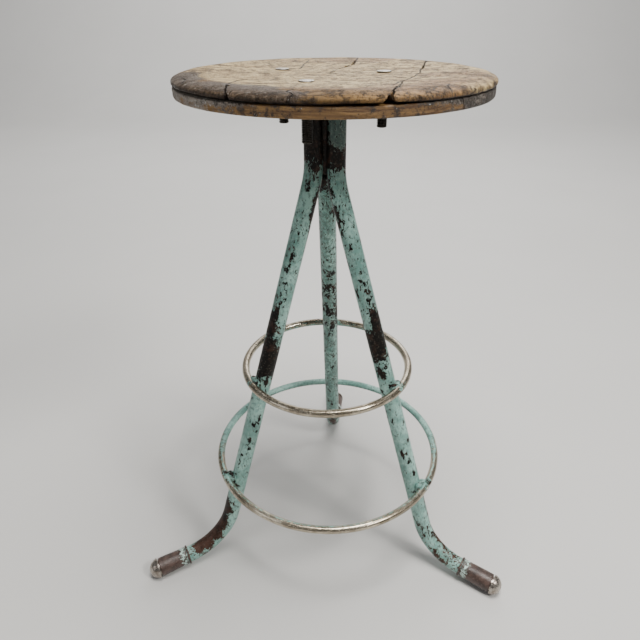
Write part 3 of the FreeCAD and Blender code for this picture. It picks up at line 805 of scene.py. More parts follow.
# Wear on each leg: height of the spot, its place across the tube as seen from the front
# (-1 left edge, 1 right edge), half length, half width, and strength (below 0 keeps the paint)
LEG_WEAR = {
    "left": (
        (614, 0.0, 32, 40, 1.0), (574, 0.3, 7, 7, 0.8), (556, -0.3, 7, 4, 0.6), (548, -0.1, 5, 3, 0.6),
        (541, 0.9, 14, 4, 0.8), (522, 0.9, 12, 3, 0.9), (500, 1.0, 15, 3, 0.85), (484, 1.0, 12, 3, 0.75),
        (467, -0.1, 7, 2.4, 0.85), (457, -0.1, 5, 2.2, 0.75), (440, -0.2, 44, 7, 0.36),
        (402, -0.3, 34, 9, 0.36), (418, -0.3, 5, 2.2, 0.7), (408, -0.1, 6, 2.4, 0.7),
        (396, -0.35, 8, 4.0, 0.8), (386, -0.5, 9, 5, 0.9), (370, -0.55, 20, 9, 0.9),
        (349, -0.4, 12, 12, 0.95), (326, 0.0, 24, 40, 1.0), (297, 0.5, 8, 4, 0.6), (290, -0.3, 8, 5, 0.5),
        (240, 0.7, 8, 2.6, 0.75), (230, 0.3, 4, 3, 0.75), (218, 0.7, 5, 2, 0.65), (205, 0.2, 6, 3, 0.65),
        (191, 0.3, 4, 3, 0.6), (179, -0.3, 3, 3, 0.7), (163, -0.4, 3, 2.4, 0.6), (125, -0.2, 6, 4, 0.7),
        (84, -0.8, 18, 9, 1.0), (77, -0.4, 12, 6, 0.75), (58, -0.8, 18, 12, 1.0), (38, -0.75, 16, 13, 1.0),
        (24, -0.6, 16, 12, 1.0), (21, 0.8, 4, 4, 0.6)),
    "right": (
        (598, 0.0, 36, 40, 1.0), (614, 0.4, 17, 12, -1.4), (586, 0.4, 11, 14, 0.6), (566, 0.5, 6, 8, -0.35),
        (560, 0.3, 9, 9, -0.8), (555, -0.9, 9, 4, 0.85), (534, -1.0, 9, 4, 0.85), (523, -0.9, 10, 4, 0.85),
        (508, -1.0, 8, 6, 0.9), (479, -0.3, 4, 2.4, 0.65), (462, -1.0, 11, 3, 0.9),
        (449, 0.1, 5, 2.4, 0.75), (437, -0.1, 6, 3, 0.55), (428, 0.2, 9, 5, 0.55), (419, -0.8, 6, 3, 0.6),
        (408, 0.2, 22, 9, 0.4), (404, 0.5, 8, 4, 0.6), (383, 0.45, 22, 8, 1.0), (353, 0.0, 22, 40, 1.0),
        (343, 0.85, 16, 3, -0.45), (319, -0.6, 7, 4, 0.85), (311, -0.3, 7, 4, 0.8), (322, 0.4, 5, 3, 0.5),
        (294, 0.1, 4, 2.4, 0.6), (287, -0.8, 5, 3, 0.75), (238, 1.0, 5, 2.4, 0.65), (209, 0.7, 4, 2.2, 0.7),
        (193, -0.4, 8, 2.6, 0.85), (193, 0.1, 3, 2.2, 0.6), (179, 0.1, 3.5, 2.2, 0.65),
        (160, 0.45, 6, 3, 0.7), (121, 0.3, 5, 6, 0.55), (95, 0.9, 30, 3, 0.45), (46, 0.9, 26, 6, 0.62),
        (22, 0.5, 20, 14, 0.46), (60, -0.4, 34, 7, 0.38), (28, -0.5, 20, 6, 0.62), (586, 0.5, 9, 12, 1.0),
        (548, -0.8, 12, 5, 0.6), (520, -0.8, 10, 3, 0.5), (498, -0.8, 7, 3, 0.55)),
    "rear": (
        (592, 0.0, 48, 40, 1.0), (536, 0.65, 13, 4, 0.8), (506, 0.65, 11, 3, 0.7), (451, 0.2, 5, 3, 0.8),
        (408, 0.2, 14, 8, 0.4), (382, 0.0, 13, 12, 0.4), (341, -0.3, 16, 4, 0.6), (330, 0.9, 16, 4, 0.6),
        (350, 0.1, 60, 30, 0.3), (478, -0.1, 48, 40, -0.3), (309, 0.25, 14, 4, 0.5), (241, 0.2, 5, 3, 0.5),
        (164, 0.5, 5, 3, 0.6), (60, 0.0, 26, 9, 0.55)),
}
FRONT_VIEW = np.array((0.0, -0.87, 0.49))


def leg_frames(side):
    """Centre points, directions down the leg and the two sideways directions, in the stool's frame."""
    line = leg_centreline(side)
    angle = math.radians(LEG_ANGLES[side])
    outward = np.array((math.cos(angle), math.sin(angle), 0.0))
    sideways = np.array((-outward[1], outward[0], 0.0))
    up = np.array((0.0, 0.0, 1.0))
    centres = line[:, :1] * outward + line[:, 1:] * up
    downs = np.gradient(centres, axis=0)
    downs /= np.linalg.norm(downs, axis=1)[:, None]
    return centres, downs, np.cross(downs, sideways), np.repeat(sideways[None], len(line), axis=0)


def clear_of_socket(rows):
    """Notches the tubes round the socket by pushing their inner faces out from the stool's axis."""
    reach = np.hypot(rows[..., 0], rows[..., 1])
    needed = np.interp(rows[..., 2], [NOTCH_FOOT, NOTCH_TOP], [0.0, SOCKET_RADIUS + 0.05])
    push = np.maximum(needed / np.maximum(reach, 0.01), 1.0)
    rows[..., 0] *= push
    rows[..., 1] *= push
    return rows


def worn_spots(points, centres, downs, spots):
    """Wear value at every point from listed spots on a tube."""
    wear = np.zeros(len(points))
    kept = np.zeros(len(points))
    for height, across, half_length, half_width, strength in spots:
        index = int(np.abs(centres[:, 2] - height).argmin())
        down = downs[index]
        front = FRONT_VIEW - down * (FRONT_VIEW @ down)
        front /= np.linalg.norm(front)
        right = np.cross(front, -down)
        right *= 1.0 if right[0] > 0 else -1.0
        lean = max(-1.0, min(1.0, across))
        spot = centres[index] + TUBE_RADIUS * (lean * right + math.sqrt(1 - lean ** 2) * front)
        offset = points - spot
        along = offset @ down
        sideways = np.linalg.norm(offset - along[:, None] * down, axis=1)
        distance = (along / half_length) ** 2 + (sideways / half_width) ** 2
        amount = abs(strength) * np.exp(-0.7 * distance)
        if strength > 0:
            wear = np.maximum(wear, amount)
        else:
            kept = np.maximum(kept, amount)
    return wear - kept


def leg(side, material):
    """One bent tube with its wear, its rust towards the foot and painted shade under the seat."""
    centres, downs, inwards, sideways = leg_frames(side)
    turns = circle(56)
    dents = np.array([1 - 0.008 + 0.008 * noise.noise(Vector(point) * 0.02) for point in centres])
    reach = TUBE_RADIUS * dents[:, None, None]
    rows = centres[:, None] + reach * (
        np.cos(turns)[None, :, None] * inwards[:, None] + np.sin(turns)[None, :, None] * sideways[:, None])
    mesh = skin("leg_" + side, clear_of_socket(rows))
    points = points_of(mesh)
    give_values(mesh, "wear", worn_spots(points, centres, downs, LEG_WEAR[side]))
    give_values(mesh, "rust", 1.15 - points[:, 2] / 90.0)
    # Painted shade under the seat: nought at 540 mm, full at 600 mm and above
    give_values(mesh, "seat_shade", (points[:, 2] - 540.0) / 60.0)
    piece("painted_leg_" + side, mesh, "base", "painted_tube", material, "leg_" + side)


# --- hub ---

def weld_sphere(angle, reach, offset, height, radius):
    """A sphere of weld metal on a bearing: reach outwards, offset sideways."""
    heading = math.radians(angle)
    return (reach * math.cos(heading) - offset * math.sin(heading),
            reach * math.sin(heading) + offset * math.cos(heading), height, radius)


def hub_seams(material):
    """Rippled weld seams in the valleys between the legs' tubes."""
    meshes = []
    for angle in HUB_WELD_ANGLES:
        spheres = []
        for index, height in enumerate(np.arange(HUB_WELD_FOOT + 2, LEG_TOP - 2.5, 2.1)):
            radius = HUB_WELD_RADIUS - 0.3 + 0.35 * noise.noise(Vector((index * 0.7, angle, 0.0)))
            spheres.append(weld_sphere(angle, HUB_WELD_REACH, 0.0, height, radius))
        meshes.append(merged_blobs("seam", spheres, 0.6))
    mesh = joined("hub_seams", meshes)
    give_values(mesh, "wear", 1.0)
    piece("hub_seams", mesh, "base", "painted_steel", material, "hub_weld_seams")


def end_plate(material):
    """The plate welded over the tubes' tops."""
    mesh = disc("end_plate", SOCKET_RADIUS, END_PLATE_RADIUS, LEG_TOP, SOCKET_TOP, (0, 0.7, 0.7, 0))
    give_values(mesh, "wear", 0.8)
    piece("end_plate", mesh, "base", "painted_steel", material, "hub_end_plate", flat=True)


def socket(material):
    """The tube the seat's screw runs in, its bore wider below the thread."""
    corners = [
        (SOCKET_RADIUS, SOCKET_FOOT, 0.4), (SOCKET_RADIUS, SOCKET_TOP, 0),
        (SOCKET_BORE_RADIUS, SOCKET_TOP, 0.3), (SOCKET_BORE_RADIUS, SOCKET_THREAD_FOOT, 0),
        (SOCKET_RELIEF_RADIUS, SOCKET_THREAD_FOOT, 0), (SOCKET_RELIEF_RADIUS, SOCKET_FOOT, 0.3),
    ]
    mesh = lathe("socket", corners)
    give_values(mesh, "wear", 0.9)
    piece("socket", mesh, "base", "painted_steel", material, "threaded_socket", flat=True)


# --- feet ---

def onto_foot(side):
    """Matrix that takes a shape drawn along +X from the origin onto a leg's foot, in metres."""
    start = foot_start(side)
    return (Matrix.Rotation(math.radians(LEG_ANGLES[side]), 4, "Z")
            @ Matrix.Translation((start[0] * MM, 0.0, start[1] * MM))
            @ Matrix.Rotation(foot_drop(side), 4, "Y"))


def foot_turning(name, side, corners, closed=True):
    """A turned piece on a foot, from (distance along the foot, radius, rounding) corners."""
    mesh = lathe(name, [(radius, along, rounding) for along, radius, rounding in corners], 72, closed)
    mesh.transform(onto_foot(side) @ Matrix.Rotation(math.radians(90), 4, "Y"))
    return mesh


def foot(side, sleeve_material, glide_material):
    """Collar, sleeve and domed glide of one foot."""
    base = dome_base(side)
    end = base - NECK_LENGTH
    mouth = end - SLEEVE_LENGTHS[side]
    bore = TUBE_RADIUS + 0.02
    start = mouth - COLLAR_LENGTH
    collar = foot_turning("collar_" + side, side, [
        (start, bore, 0), (start, bore + 1.0, 0.3), (start + 0.7, COLLAR_RADIUS, 0.7),
        (mouth - 1.2, COLLAR_RADIUS, 0.7), (mouth - 0.5, bore + 1.0, 0.3), (mouth - 0.5, bore, 0),
    ])
    finish_foot_cover("foot_ring_" + side, collar, side, sleeve_material, "foot_collar_" + side)
    sleeve = foot_turning("sleeve_" + side, side, [
        (mouth, bore, 0), (mouth, SLEEVE_MOUTH_RADIUS - 0.3, 0.3), (mouth + 1.5, SLEEVE_MOUTH_RADIUS, 1.0),
        (mouth + 10, SLEEVE_WAIST_RADIUS, 4), (mouth + 20, SLEEVE_BARREL_RADIUS, 6),
        (end, SLEEVE_END_RADIUS, 1.3), (end, SLEEVE_END_BORE, 0),
        (end - TUBE_END_SETBACK, SLEEVE_END_BORE, 0), (end - TUBE_END_SETBACK, bore, 0),
    ])
    finish_foot_cover("foot_cover_" + side, sleeve, side, sleeve_material, "foot_sleeve_" + side)
    glide(side, base, glide_material)


def finish_foot_cover(name, mesh, side, material, node):
    """Finishes a collar or sleeve, marking how near the collar each point is: paint flecks remain there."""
    back = onto_foot(side).inverted()
    points = np.array([back @ vertex.co for vertex in mesh.vertices]) / MM
    mouth = dome_base(side) - NECK_LENGTH - SLEEVE_LENGTHS[side]
    give_values(mesh, "painted", np.clip(1.0 - np.abs(points[:, 0] - mouth - 5.0) / 9.0, 0, 1))
    piece(name, mesh, "base", "foot_sleeve", material, node, flat=True)


def glide(side, base, material):
    """The domed plug in a foot, worn flat where it stands on the floor."""
    centre = base - DOME_SETBACK
    neck = base - NECK_LENGTH
    radius = DOME_RADIUS - 0.05
    corners = [(neck - PLUG_LENGTH, 0.0, 0), (neck - PLUG_LENGTH, PLUG_RADIUS, 1.0), (neck, PLUG_RADIUS, 0),
               (neck, NECK_RADIUS - 1.0, 0), (base, NECK_RADIUS - 1.0, 0), (base, radius, 0.5)]
    for sweep in np.linspace(6, 90, 30):
        lean = math.radians(sweep)
        corners.append((centre + radius * math.sin(lean), radius * math.cos(lean), 0))
    mesh = foot_turning("glide_" + side, side, corners, closed=False)
    for vertex in mesh.vertices:
        vertex.co.z = max(vertex.co.z, 0.0)
    piece("foot_dome_" + side, mesh, "base", "glide_steel", material, "foot_glide_" + side,
                 sharp_angle=50.0)


# --- footrest rings ---

def wrapped_gap(angles, centre):
    """Degrees between angles and a centre, the short way round."""
    return np.abs((angles - centre + 180.0) % 360.0 - 180.0)


def ring(name, radius, height, offset_x, joints, paint_at, dark_at, material, node):
    """A bent rod closed into a ring, slightly out of true, with fine gaps where its ends meet."""
    turns = circle(540)
    around = circle(28)
    rows = []
    for turn in turns:
        wander = noise.noise(Vector((math.cos(turn) * 1.7, math.sin(turn) * 1.7, radius * 0.1)))
        waver = noise.noise(Vector((math.cos(turn) * 1.9, math.sin(turn) * 1.9, radius * 0.3 + 9.0)))
        gap = min((wrapped_gap(math.degrees(turn), joint) for joint in joints), default=90.0)
        rod = ROD_RADIUS * (1 - 0.08 * math.exp(-(gap * radius * 0.0175 / 0.9) ** 2))
        reach = radius + 0.5 * wander + rod * np.cos(around)
        rows.append(np.stack([reach * math.cos(turn) + offset_x, reach * math.sin(turn),
                              height + 0.6 * waver + rod * np.sin(around)], axis=1))
    mesh = skin(name, np.array(rows), closed=True)
    points = points_of(mesh)
    bearing = np.degrees(np.arctan2(points[:, 1], points[:, 0] - offset_x)) % 360
    side = (np.hypot(points[:, 0] - offset_x, points[:, 1]) - radius) / ROD_RADIUS
    rise = (points[:, 2] - height) / ROD_RADIUS
    give_values(mesh, "paint", paint_at(bearing, side, rise))
    give_values(mesh, "dark", dark_at(bearing, side, rise))
    piece(name, mesh, "base", "ring_rod", material, node)


def near_bearing(bearing, centre, width, power=2):
    """1 at a bearing, falling to 0 on both sides of it; a higher power makes a flatter middle."""
    return np.exp(-(wrapped_gap(bearing, centre) / width) ** power)


def near_legs(bearing, width):
    """1 beside each leg and 0 away from them."""
    nearest = np.min([wrapped_gap(bearing, angle) for angle in LEG_ANGLES.values()], axis=0)
    return np.exp(-(nearest / width) ** 2)


def upper_ring_paint(bearing, side, rise):
    back = np.clip(np.sin(np.radians(bearing)) * 1.4 - 0.1, 0, 1)
    return 0.34 * back - 0.20 * back * rise + 0.10 + 0.40 * near_legs(bearing, 5.0)


# Painted shade along the rod's underside, plus darker steel at the back and beside the legs
def upper_ring_dark(bearing, side, rise):
    back = np.clip(np.sin(np.radians(bearing)) * 1.4, 0, 1)
    return 0.10 + 0.25 * back + 0.35 * np.clip(-rise - 0.2, 0, 1) + 0.25 * near_legs(bearing, 7.0)


def lower_ring_paint(bearing, side, rise):
    back = np.clip(np.sin(np.radians(bearing)) * 1.6 + 0.7, 0, 1)
    crown = np.clip(0.55 - 0.35 * side + 0.55 * rise, 0, 1)
    front_line = (1 - back) * np.exp(-((side + 0.15) / 0.28) ** 2) * np.clip(rise, 0, 1)
    return back * (0.18 + 0.48 * crown) + 0.46 * front_line + 0.12 * crown + 0.45 * near_legs(bearing, 4.5)


# Painted shade along the rod's underside, plus darker steel at the back and beside the legs
def lower_ring_dark(bearing, side, rise):
    back = np.clip(np.sin(np.radians(bearing)) * 1.6 + 0.7, 0, 1)
    return 0.16 + back * (0.30 + 0.6 * np.clip(-rise, 0, 1)) + 0.40 * np.clip(-rise - 0.1, 0, 1)


def tube_face_reach(height, side):
    """Distance from the stool's axis to the outer face of a splayed leg at a height."""
    return splay_reach(height, side) + TUBE_RADIUS * math.hypot(1, SPLAY_SLOPES[side])


def ring_reach(radius, offset_x, side):
    """Distance from the stool's axis to a ring's rod centre at a leg."""
    return radius + offset_x * math.cos(math.radians(LEG_ANGLES[side]))


def ring_weld_spheres(side, height, rod_reach, size):
    """A fat uneven fillet between a leg and a ring."""
    angle = LEG_ANGLES[side]
    middle = (tube_face_reach(height, side) + rod_reach - ROD_RADIUS) / 2
    spheres = []
    for index, offset in enumerate((-5.5, -3.0, -0.5, 2.5, 5.0)):
        lift = 1.5 * noise.noise(Vector((offset, angle, height)))
        swell = size * (0.62 + 0.16 * noise.noise(Vector((index * 1.7, angle, height))))
        spheres.append(weld_sphere(angle, middle, offset, height + 2.8 + lift, swell))
        spheres.append(weld_sphere(angle, middle, offset, height - 2.8 + lift, swell))
    spheres.append(weld_sphere(angle, middle + 1.5, 0.0, height, size * 0.8))
    return spheres


def ring_welds(name, height, ring_radius, offset_x, size, material, node, extra_beads=()):
    """Weld beads between the three legs and a ring."""
    meshes = []
    for side in LEG_ANGLES:
        rod_reach = ring_reach(ring_radius, offset_x, side)
        spheres = ring_weld_spheres(side, height, rod_reach, size)
        for bead_side, outward, sideways, rise, radius in extra_beads:
            if bead_side == side:
                spheres.append(weld_sphere(LEG_ANGLES[side], rod_reach + outward, sideways,
                                           height + rise, radius))
        meshes.append(merged_blobs("bead", spheres))
    mesh = joined(name, meshes)
    points = points_of(mesh)
    wear = [0.22 + 0.5 * noise.noise(Vector(point) * 0.16) for point in points]
    give_values(mesh, "wear", np.array(wear))
    piece(name, mesh, "base", "painted_steel", material, node)


def ring_pegs(material):
    """Short rods that carry the lower ring off the legs."""
    lift = Matrix.Translation((0.0, 0.0, LOWER_RING_HEIGHT * MM))
    meshes = []
    for side, angle in LEG_ANGLES.items():
        start = splay_reach(LOWER_RING_HEIGHT, side) + 6.0
        end = ring_reach(LOWER_RING_RADIUS, LOWER_RING_OFFSET_X, side)
        peg = disc("peg", 0.0, PEG_RADIUS, start, end, around=32)
        peg.transform(lift @ Matrix.Rotation(math.radians(90), 4, "Y"))
        meshes.append(turned(peg, angle))
    mesh = joined("ring_pegs", meshes)
    give_values(mesh, "wear", 0.2)
    piece("ring_pegs", mesh, "base", "painted_steel", material, "lower_ring_pegs")


# --- seat boards ---

# Cracks in the upper board: (x, y) from the seat's middle, with half width and depth
CRACKS = {
    "left": (
        (-97, -146, 1.1, 9), (-97, -130, 0.9, 6), (-99, -116, 0.5, 4), (-99, -91, 0.6, 4),
        (-96, -70, 0.5, 4), (-91, -58, 0.6, 4), (-83, -55, 0.4, 3.5), (-73, -58, 0.4, 3),
        (-65, -52, 0.3, 3), (-58, -36, 0.2, 2)),
    "right": (
        (47, -168, 2.8, 9), (49, -160, 1.8, 6), (52, -146, 0.7, 5), (54, -132, 0.8, 4), (61, -108, 0.4, 4),
        (67, -76, 0.5, 4), (72, -58, 0.5, 4), (78, -47, 0.4, 4), (85, -29, 0.4, 4), (94, -2, 0.4, 4),
        (100, 30, 0.6, 4), (105, 46, 1.5, 5), (108, 62, 1.1, 4), (119, 109, 0.4, 3)),
    "right_branch": ((51, -112, 0.3, 2), (55, -104, 0.6, 3), (60, -90, 0.4, 3), (65, -74, 0.3, 2)),
    "right_fray": ((50, -150, 0.6, 3), (57, -138, 0.5, 3), (58, -124, 0.3, 2)),
    "front": (
        (-41, -171, 0.6, 5), (-36, -166, 0.5, 4), (-42, -159, 0.4, 3.5), (-36, -150, 0.4, 3),
        (-41, -140, 0.2, 2)),
    "middle": (
        (36, 160, 0.5, 3), (31, 128, 0.4, 3), (26, 100, 3.4, 6), (20, 84, 3.0, 6), (12, 66, 1.0, 4),
        (4, 44, 0.3, 3), (-6, 20, 0.2, 2)),
    "middle_side": ((2, 28, 0.9, 3), (-2, 18, 1.1, 3), (-5, 9, 0.4, 2)),
    "back_left": ((-39, 57, 0.2, 1.5), (-35, 97, 0.2, 2), (-30, 131, 0.2, 1.5)),
    "left_rim": ((-152, -62, 0.4, 3), (-147, -72, 0.8, 4), (-146, -88, 0.3, 2.5)),
    "right_rim": ((103, -140, 0.4, 3), (100, -128, 0.4, 3), (104, -118, 0.2, 2)),
}
# Knot holes and dents: (x, y) from the seat's middle, radius and depth
PITS = (
    (-97, -124, 2.4, 5), (36, 37, 1.9, 3.5), (45, -7, 1.6, 3), (6, -95, 1.8, 3), (-71, -85, 1.2, 3),
    (112, -65, 1.3, 3), (7, -26, 1.2, 2.5), (-77, 78, 1.4, 3))


def top_height(reach):
    """Height of the worn dish above the seam."""
    rise = RIM_CREST_HEIGHT - 0.5 - DISH_CENTRE_HEIGHT + 0.6
    return DISH_CENTRE_HEIGHT - 0.6 + rise * (reach / RIM_CREST_RADIUS) ** 2.6


def gap_at(bearing):
    """How far the seam between the boards has opened, by bearing round the seat."""
    left = 1.2 * near_bearing(bearing, 213.0, 26.0, 4)
    right = 1.0 * near_bearing(bearing, 281.0, 13.0, 4)
    far = 0.7 * near_bearing(bearing, 20.0, 30.0)
    return 0.25 + np.maximum(np.maximum(left, right), far)


def upper_board_rows(around=560):
    """Rows of the upper board from the middle of its top round to the middle of its underside."""
    bearing = np.degrees(circle(around))
    heading = np.radians(bearing)
    outline = [(reach, top_height(reach), 0.0) for reach in np.linspace(0, RIM_CREST_RADIUS, 66)]
    for sweep in np.linspace(6, 90, 14):
        lean = math.radians(sweep)
        reach = RIM_CREST_RADIUS + (SEAT_RADIUS - 0.1 - RIM_CREST_RADIUS) * math.sin(lean)
        rise = RIM_EDGE_HEIGHT + (RIM_CREST_HEIGHT - 0.5 - RIM_EDGE_HEIGHT) * math.cos(lean) ** 0.75
        outline.append((reach, rise, 0.0))
    outline += [(SEAT_RADIUS - 0.4, 1.7, 0.5), (SEAT_RADIUS - 0.9, 0.8, 0.8), (SEAT_RADIUS - 2.0, 0.15, 1.0)]
    outline += [(SEAT_RADIUS - 8.0, 0.0, 0.9), (SEAT_RADIUS - 20.0, 0.0, 0.0), (0.0, 0.0, 0.0)]
    rows = []
    for reach, rise, opening in outline:
        edge = np.interp(reach, [140.0, 174.0], [0.0, 1.0])
        out = reach * np.ones(around)
        up = rise + opening * gap_at(bearing)
        for step in range(around):
            spot = Vector((math.cos(heading[step]) * reach, math.sin(heading[step]) * reach, 0.0))
            if rise > RIM_EDGE_HEIGHT - 0.1:
                up[step] += 0.45 * noise.noise(spot * 0.03) + 0.22 * edge * noise.noise(spot * 0.12)
            if edge > 0:
                out[step] -= edge * max(0.0, 0.18 + 0.45 * noise.noise(spot * 0.05))
        rows.append(round_row(out, heading, BOARD_SEAM + up, SEAT_OFFSET_X))
    return np.array(rows)


def crack_points(crack, spacing=1.2):
    """A crack's line with points added, a jitter, and a width that comes and goes."""
    line = respaced(np.array(crack, float), spacing, 2)
    for index, point in enumerate(line):
        x, y = point[0], point[1]
        swing = 1.5 * noise.noise(Vector((x * 0.12, y * 0.12, 2.0)))
        point[0] += swing + 0.7 * noise.noise(Vector((x, y, 9.0)) * 0.45)
        point[1] += 0.8 * noise.noise(Vector((y * 0.2, x * 0.2, 5.0)))
        point[2] *= 0.85 + 1.5 * noise.noise(Vector((index * 0.21, x * 0.3, 3.0)))
    return line


def crack_cutter(name, crack):
    """A thin wedge along a crack, wide at the top and narrow at the bottom."""
    line = crack_points(crack)
    ahead = np.gradient(line[:, :2], axis=0)
    ahead /= np.linalg.norm(ahead, axis=1)[:, None]
    across = np.stack([-ahead[:, 1], ahead[:, 0]], axis=1)
    rows = []
    for (x, y, half_width, depth), (across_x, across_y) in zip(line, across):
        surface = BOARD_SEAM + top_height(min(math.hypot(x, y), RIM_CREST_RADIUS))
        half_width = max(half_width, 0.14)
        floor = max(surface - depth, BOARD_SEAM - 0.6)
        section = ((1.5, surface + 3.0), (-1.5, surface + 3.0), (-0.8, surface - 1.2),
                   (-0.25, floor), (0.25, floor), (0.8, surface - 1.2))
        rows.append([(x + SEAT_OFFSET_X + across_x * half_width * share,
                      y + across_y * half_width * share, height) for share, height in section])
    return skin(name, np.array(rows))


def pit_cutter(x, y, radius, depth):
    """An uneven pointed plug for a knot hole."""
    surface = BOARD_SEAM + top_height(math.hypot(x, y))
    angles = circle(14)
    lumps = np.array([noise.noise(Vector((math.cos(a), math.sin(a), x * 0.1))) for a in angles])
    rows = []
    for share, height in ((1.25, surface + 3.0), (1.0, surface - 0.3),
                          (0.7, surface - 0.6 * depth), (0.3, surface - depth)):
        rows.append(round_row(radius * share * (1 + 0.3 * lumps), angles, height, x + SEAT_OFFSET_X, y))
    return skin("pit", np.array(rows))


def edge_point(bearing, reach, sideways, height):
    """A point near a board's edge, sideways of a bearing round the seat."""
    heading = math.radians(bearing)
    return (math.cos(heading) * reach + SEAT_OFFSET_X - math.sin(heading) * sideways,
            math.sin(heading) * reach + math.cos(heading) * sideways, height)


def slot_section(bearing, outer, inner, half_width, taper, height):
    """Four points round a level slot that runs into a board's edge."""
    corners = ((outer, -1.0), (outer, 1.0), (inner, taper), (inner, -taper))
    return [edge_point(bearing, reach, half_width * share, height) for reach, share in corners]


def rim_notch(bearing, half_width, top, inward=7.0):
    """A triangular bite out of the upper board's edge, its point upwards."""
    foot = BOARD_SEAM - 0.5
    rows = []
    for reach, share in ((SEAT_RADIUS + 3.0, 1.0), (SEAT_RADIUS - inward, 0.5)):
        width = half_width * share
        point = BOARD_SEAM + top * share
        corners = ((-width, foot), (width, foot), (0.3, point), (-0.3, point))
        rows.append([edge_point(bearing, reach, sideways, height) for sideways, height in corners])
    return skin("notch", np.array(rows))


def rim_crack(bearing_foot, bearing_top, half_width, top=8.0, inward=9.0):
    """A thin crack that climbs the upper board's edge."""
    rows = []
    for share in np.linspace(0, 1, 9):
        bearing = bearing_foot + (bearing_top - bearing_foot) * share
        bearing += 0.35 * noise.noise(Vector((share * 4.0, bearing_foot, 1.0)))
        height = BOARD_SEAM - 0.5 + (top + 3.0) * share
        rows.append(slot_section(bearing, SEAT_RADIUS + 3.0, SEAT_RADIUS - inward, half_width, 0.3, height))
    return skin("rim_crack", np.array(rows))


def bolt_places():
    """(x, y) of each seat bolt."""
    headings = [math.radians(angle) for angle in BOLT_ANGLES]
    return [(BOLT_CIRCLE_RADIUS * math.cos(heading), BOLT_CIRCLE_RADIUS * math.sin(heading))
            for heading in headings]


def drilled_holes(foot, top):
    """Cutters for the three bolt holes between two heights."""
    return [disc("hole", 0.0, BOLT_HOLE_RADIUS, foot, top, around=32, x=x, y=y) for x, y in bolt_places()]


def bolt_recesses():
    """Cutters for the bolt holes in the upper board, wider where the heads sink in."""
    foot = BOARD_SEAM - 1.0
    top = BOARD_SEAM + 14
    outline = [
        (0.0, foot, 0), (BOLT_HOLE_RADIUS, foot, 0), (BOLT_HOLE_RADIUS, BOLT_HEAD_UNDERSIDE, 0),
        (BOLT_HEAD_RECESS_RADIUS, BOLT_HEAD_UNDERSIDE, 0), (BOLT_HEAD_RECESS_RADIUS, top, 0), (0.0, top, 0)]
    return [lathe("recess", outline, 40, closed=False, x=x, y=y) for x, y in bolt_places()]


def distance_to_line(x, y, line):
    """Distance of points from a line with bends."""
    nearest = np.full(len(x), 1e9)
    for start, end in zip(line[:-1, :2], line[1:, :2]):
        span = end - start
        from_x, from_y = x - start[0], y - start[1]
        share = np.clip((from_x * span[0] + from_y * span[1]) / max(span @ span, 1e-9), 0, 1)
        nearest = np.minimum(nearest, np.hypot(from_x - share * span[0], from_y - share * span[1]))
    return nearest


def soft_spot(x, y, centre_x, centre_y, radius_x, radius_y):
    """1 in the middle of an oval, falling smoothly to 0 outside it."""
    return 1 / (1 + (((x - centre_x) / radius_x) ** 2 + ((y - centre_y) / radius_y) ** 2) ** 2)


# Stains on the upper board: middle (x, y), half widths and strength
DARK_STAINS = (
    (160, -98, 9, 30, 0.7), (126, -145, 30, 8, 0.7), (-158, -66, 22, 56, 1.1), (-112, -130, 56, 27, 1.2),
    (-62, -165, 30, 10, 0.9), (78, -164, 20, 8, 0.6), (172, 20, 5, 60, 0.6), (-20, -100, 40, 20, 0.18))
OCHRE_STAINS = (
    (120, 20, 60, 90, 0.18), (90, -110, 46, 46, 0.45), (20, 140, 120, 34, 0.45), (-30, -155, 76, 24, 1.0),
    (30, -160, 70, 20, 1.0), (-140, -90, 30, 20, 0.3), (140, -40, 40, 50, 0.3), (-150, 20, 20, 60, 0.25),
    (0, 0, 160, 160, 0.12))


def upper_board(material):
    """The worn board with its cracks, knot holes, notches and stains."""
    cutters = [crack_cutter(name, crack) for name, crack in CRACKS.items()]
    cutters += [pit_cutter(*pit) for pit in PITS]
    cutters += [rim_notch(236.9, 4.2, 8.6, inward=11.0), rim_notch(285.1, 9.5, 9.6, inward=13.0),
                rim_notch(302.3, 0.7, 5.0)]
    cutters += [rim_crack(237.2, 237.8, 0.6), rim_crack(286.0, 286.4, 0.7), rim_crack(256.2, 256.9, 0.35)]
    cutters += bolt_recesses()
    mesh = carved("upper_board", skin("upper_board", upper_board_rows()), joined("cuts", cutters))
    points = points_of(mesh)
    x, y = points[:, 0] - SEAT_OFFSET_X, points[:, 1]
    crack = np.zeros(len(points))
    for line in CRACKS.values():
        gap = distance_to_line(x, y, crack_points(line))
        crack = np.maximum(crack, np.exp(-(gap / 1.9) ** 2))
    reach = np.hypot(x, y)
    # Painted shade: points below the worn top, inside cracks, pits, notches and recesses and at the rim's
    # foot by the seam, darken with depth
    surface = BOARD_SEAM + np.where(reach < RIM_CREST_RADIUS, top_height(reach), 2.8)
    below = np.clip((surface - points[:, 2]) / 1.6, 0, 1)
    give_values(mesh, "crack", np.maximum(crack * 0.9, below))
    compass = np.degrees(np.arctan2(y, x)) % 360
    # Painted shade down the front of the rim's roll: it darkens the wood, turns it ochre and sets the roll
    # value
    front_roll_shade = np.clip((reach - 136.0) / 30.0, 0, 1) * near_bearing(compass, 234.0, 54.0, 4)
    give_values(mesh, "dark", sum(s[4] * soft_spot(x, y, *s[:4]) for s in DARK_STAINS) + 0.22 * front_roll_shade)
    give_values(mesh, "ochre", sum(s[4] * soft_spot(x, y, *s[:4]) for s in OCHRE_STAINS) + 0.8 * front_roll_shade)
    give_values(mesh, "roll", front_roll_shade)
    piece("seat_top", mesh, "seat", "seat_wood_top", material, "seat_board_upper", sharp_angle=45.0)


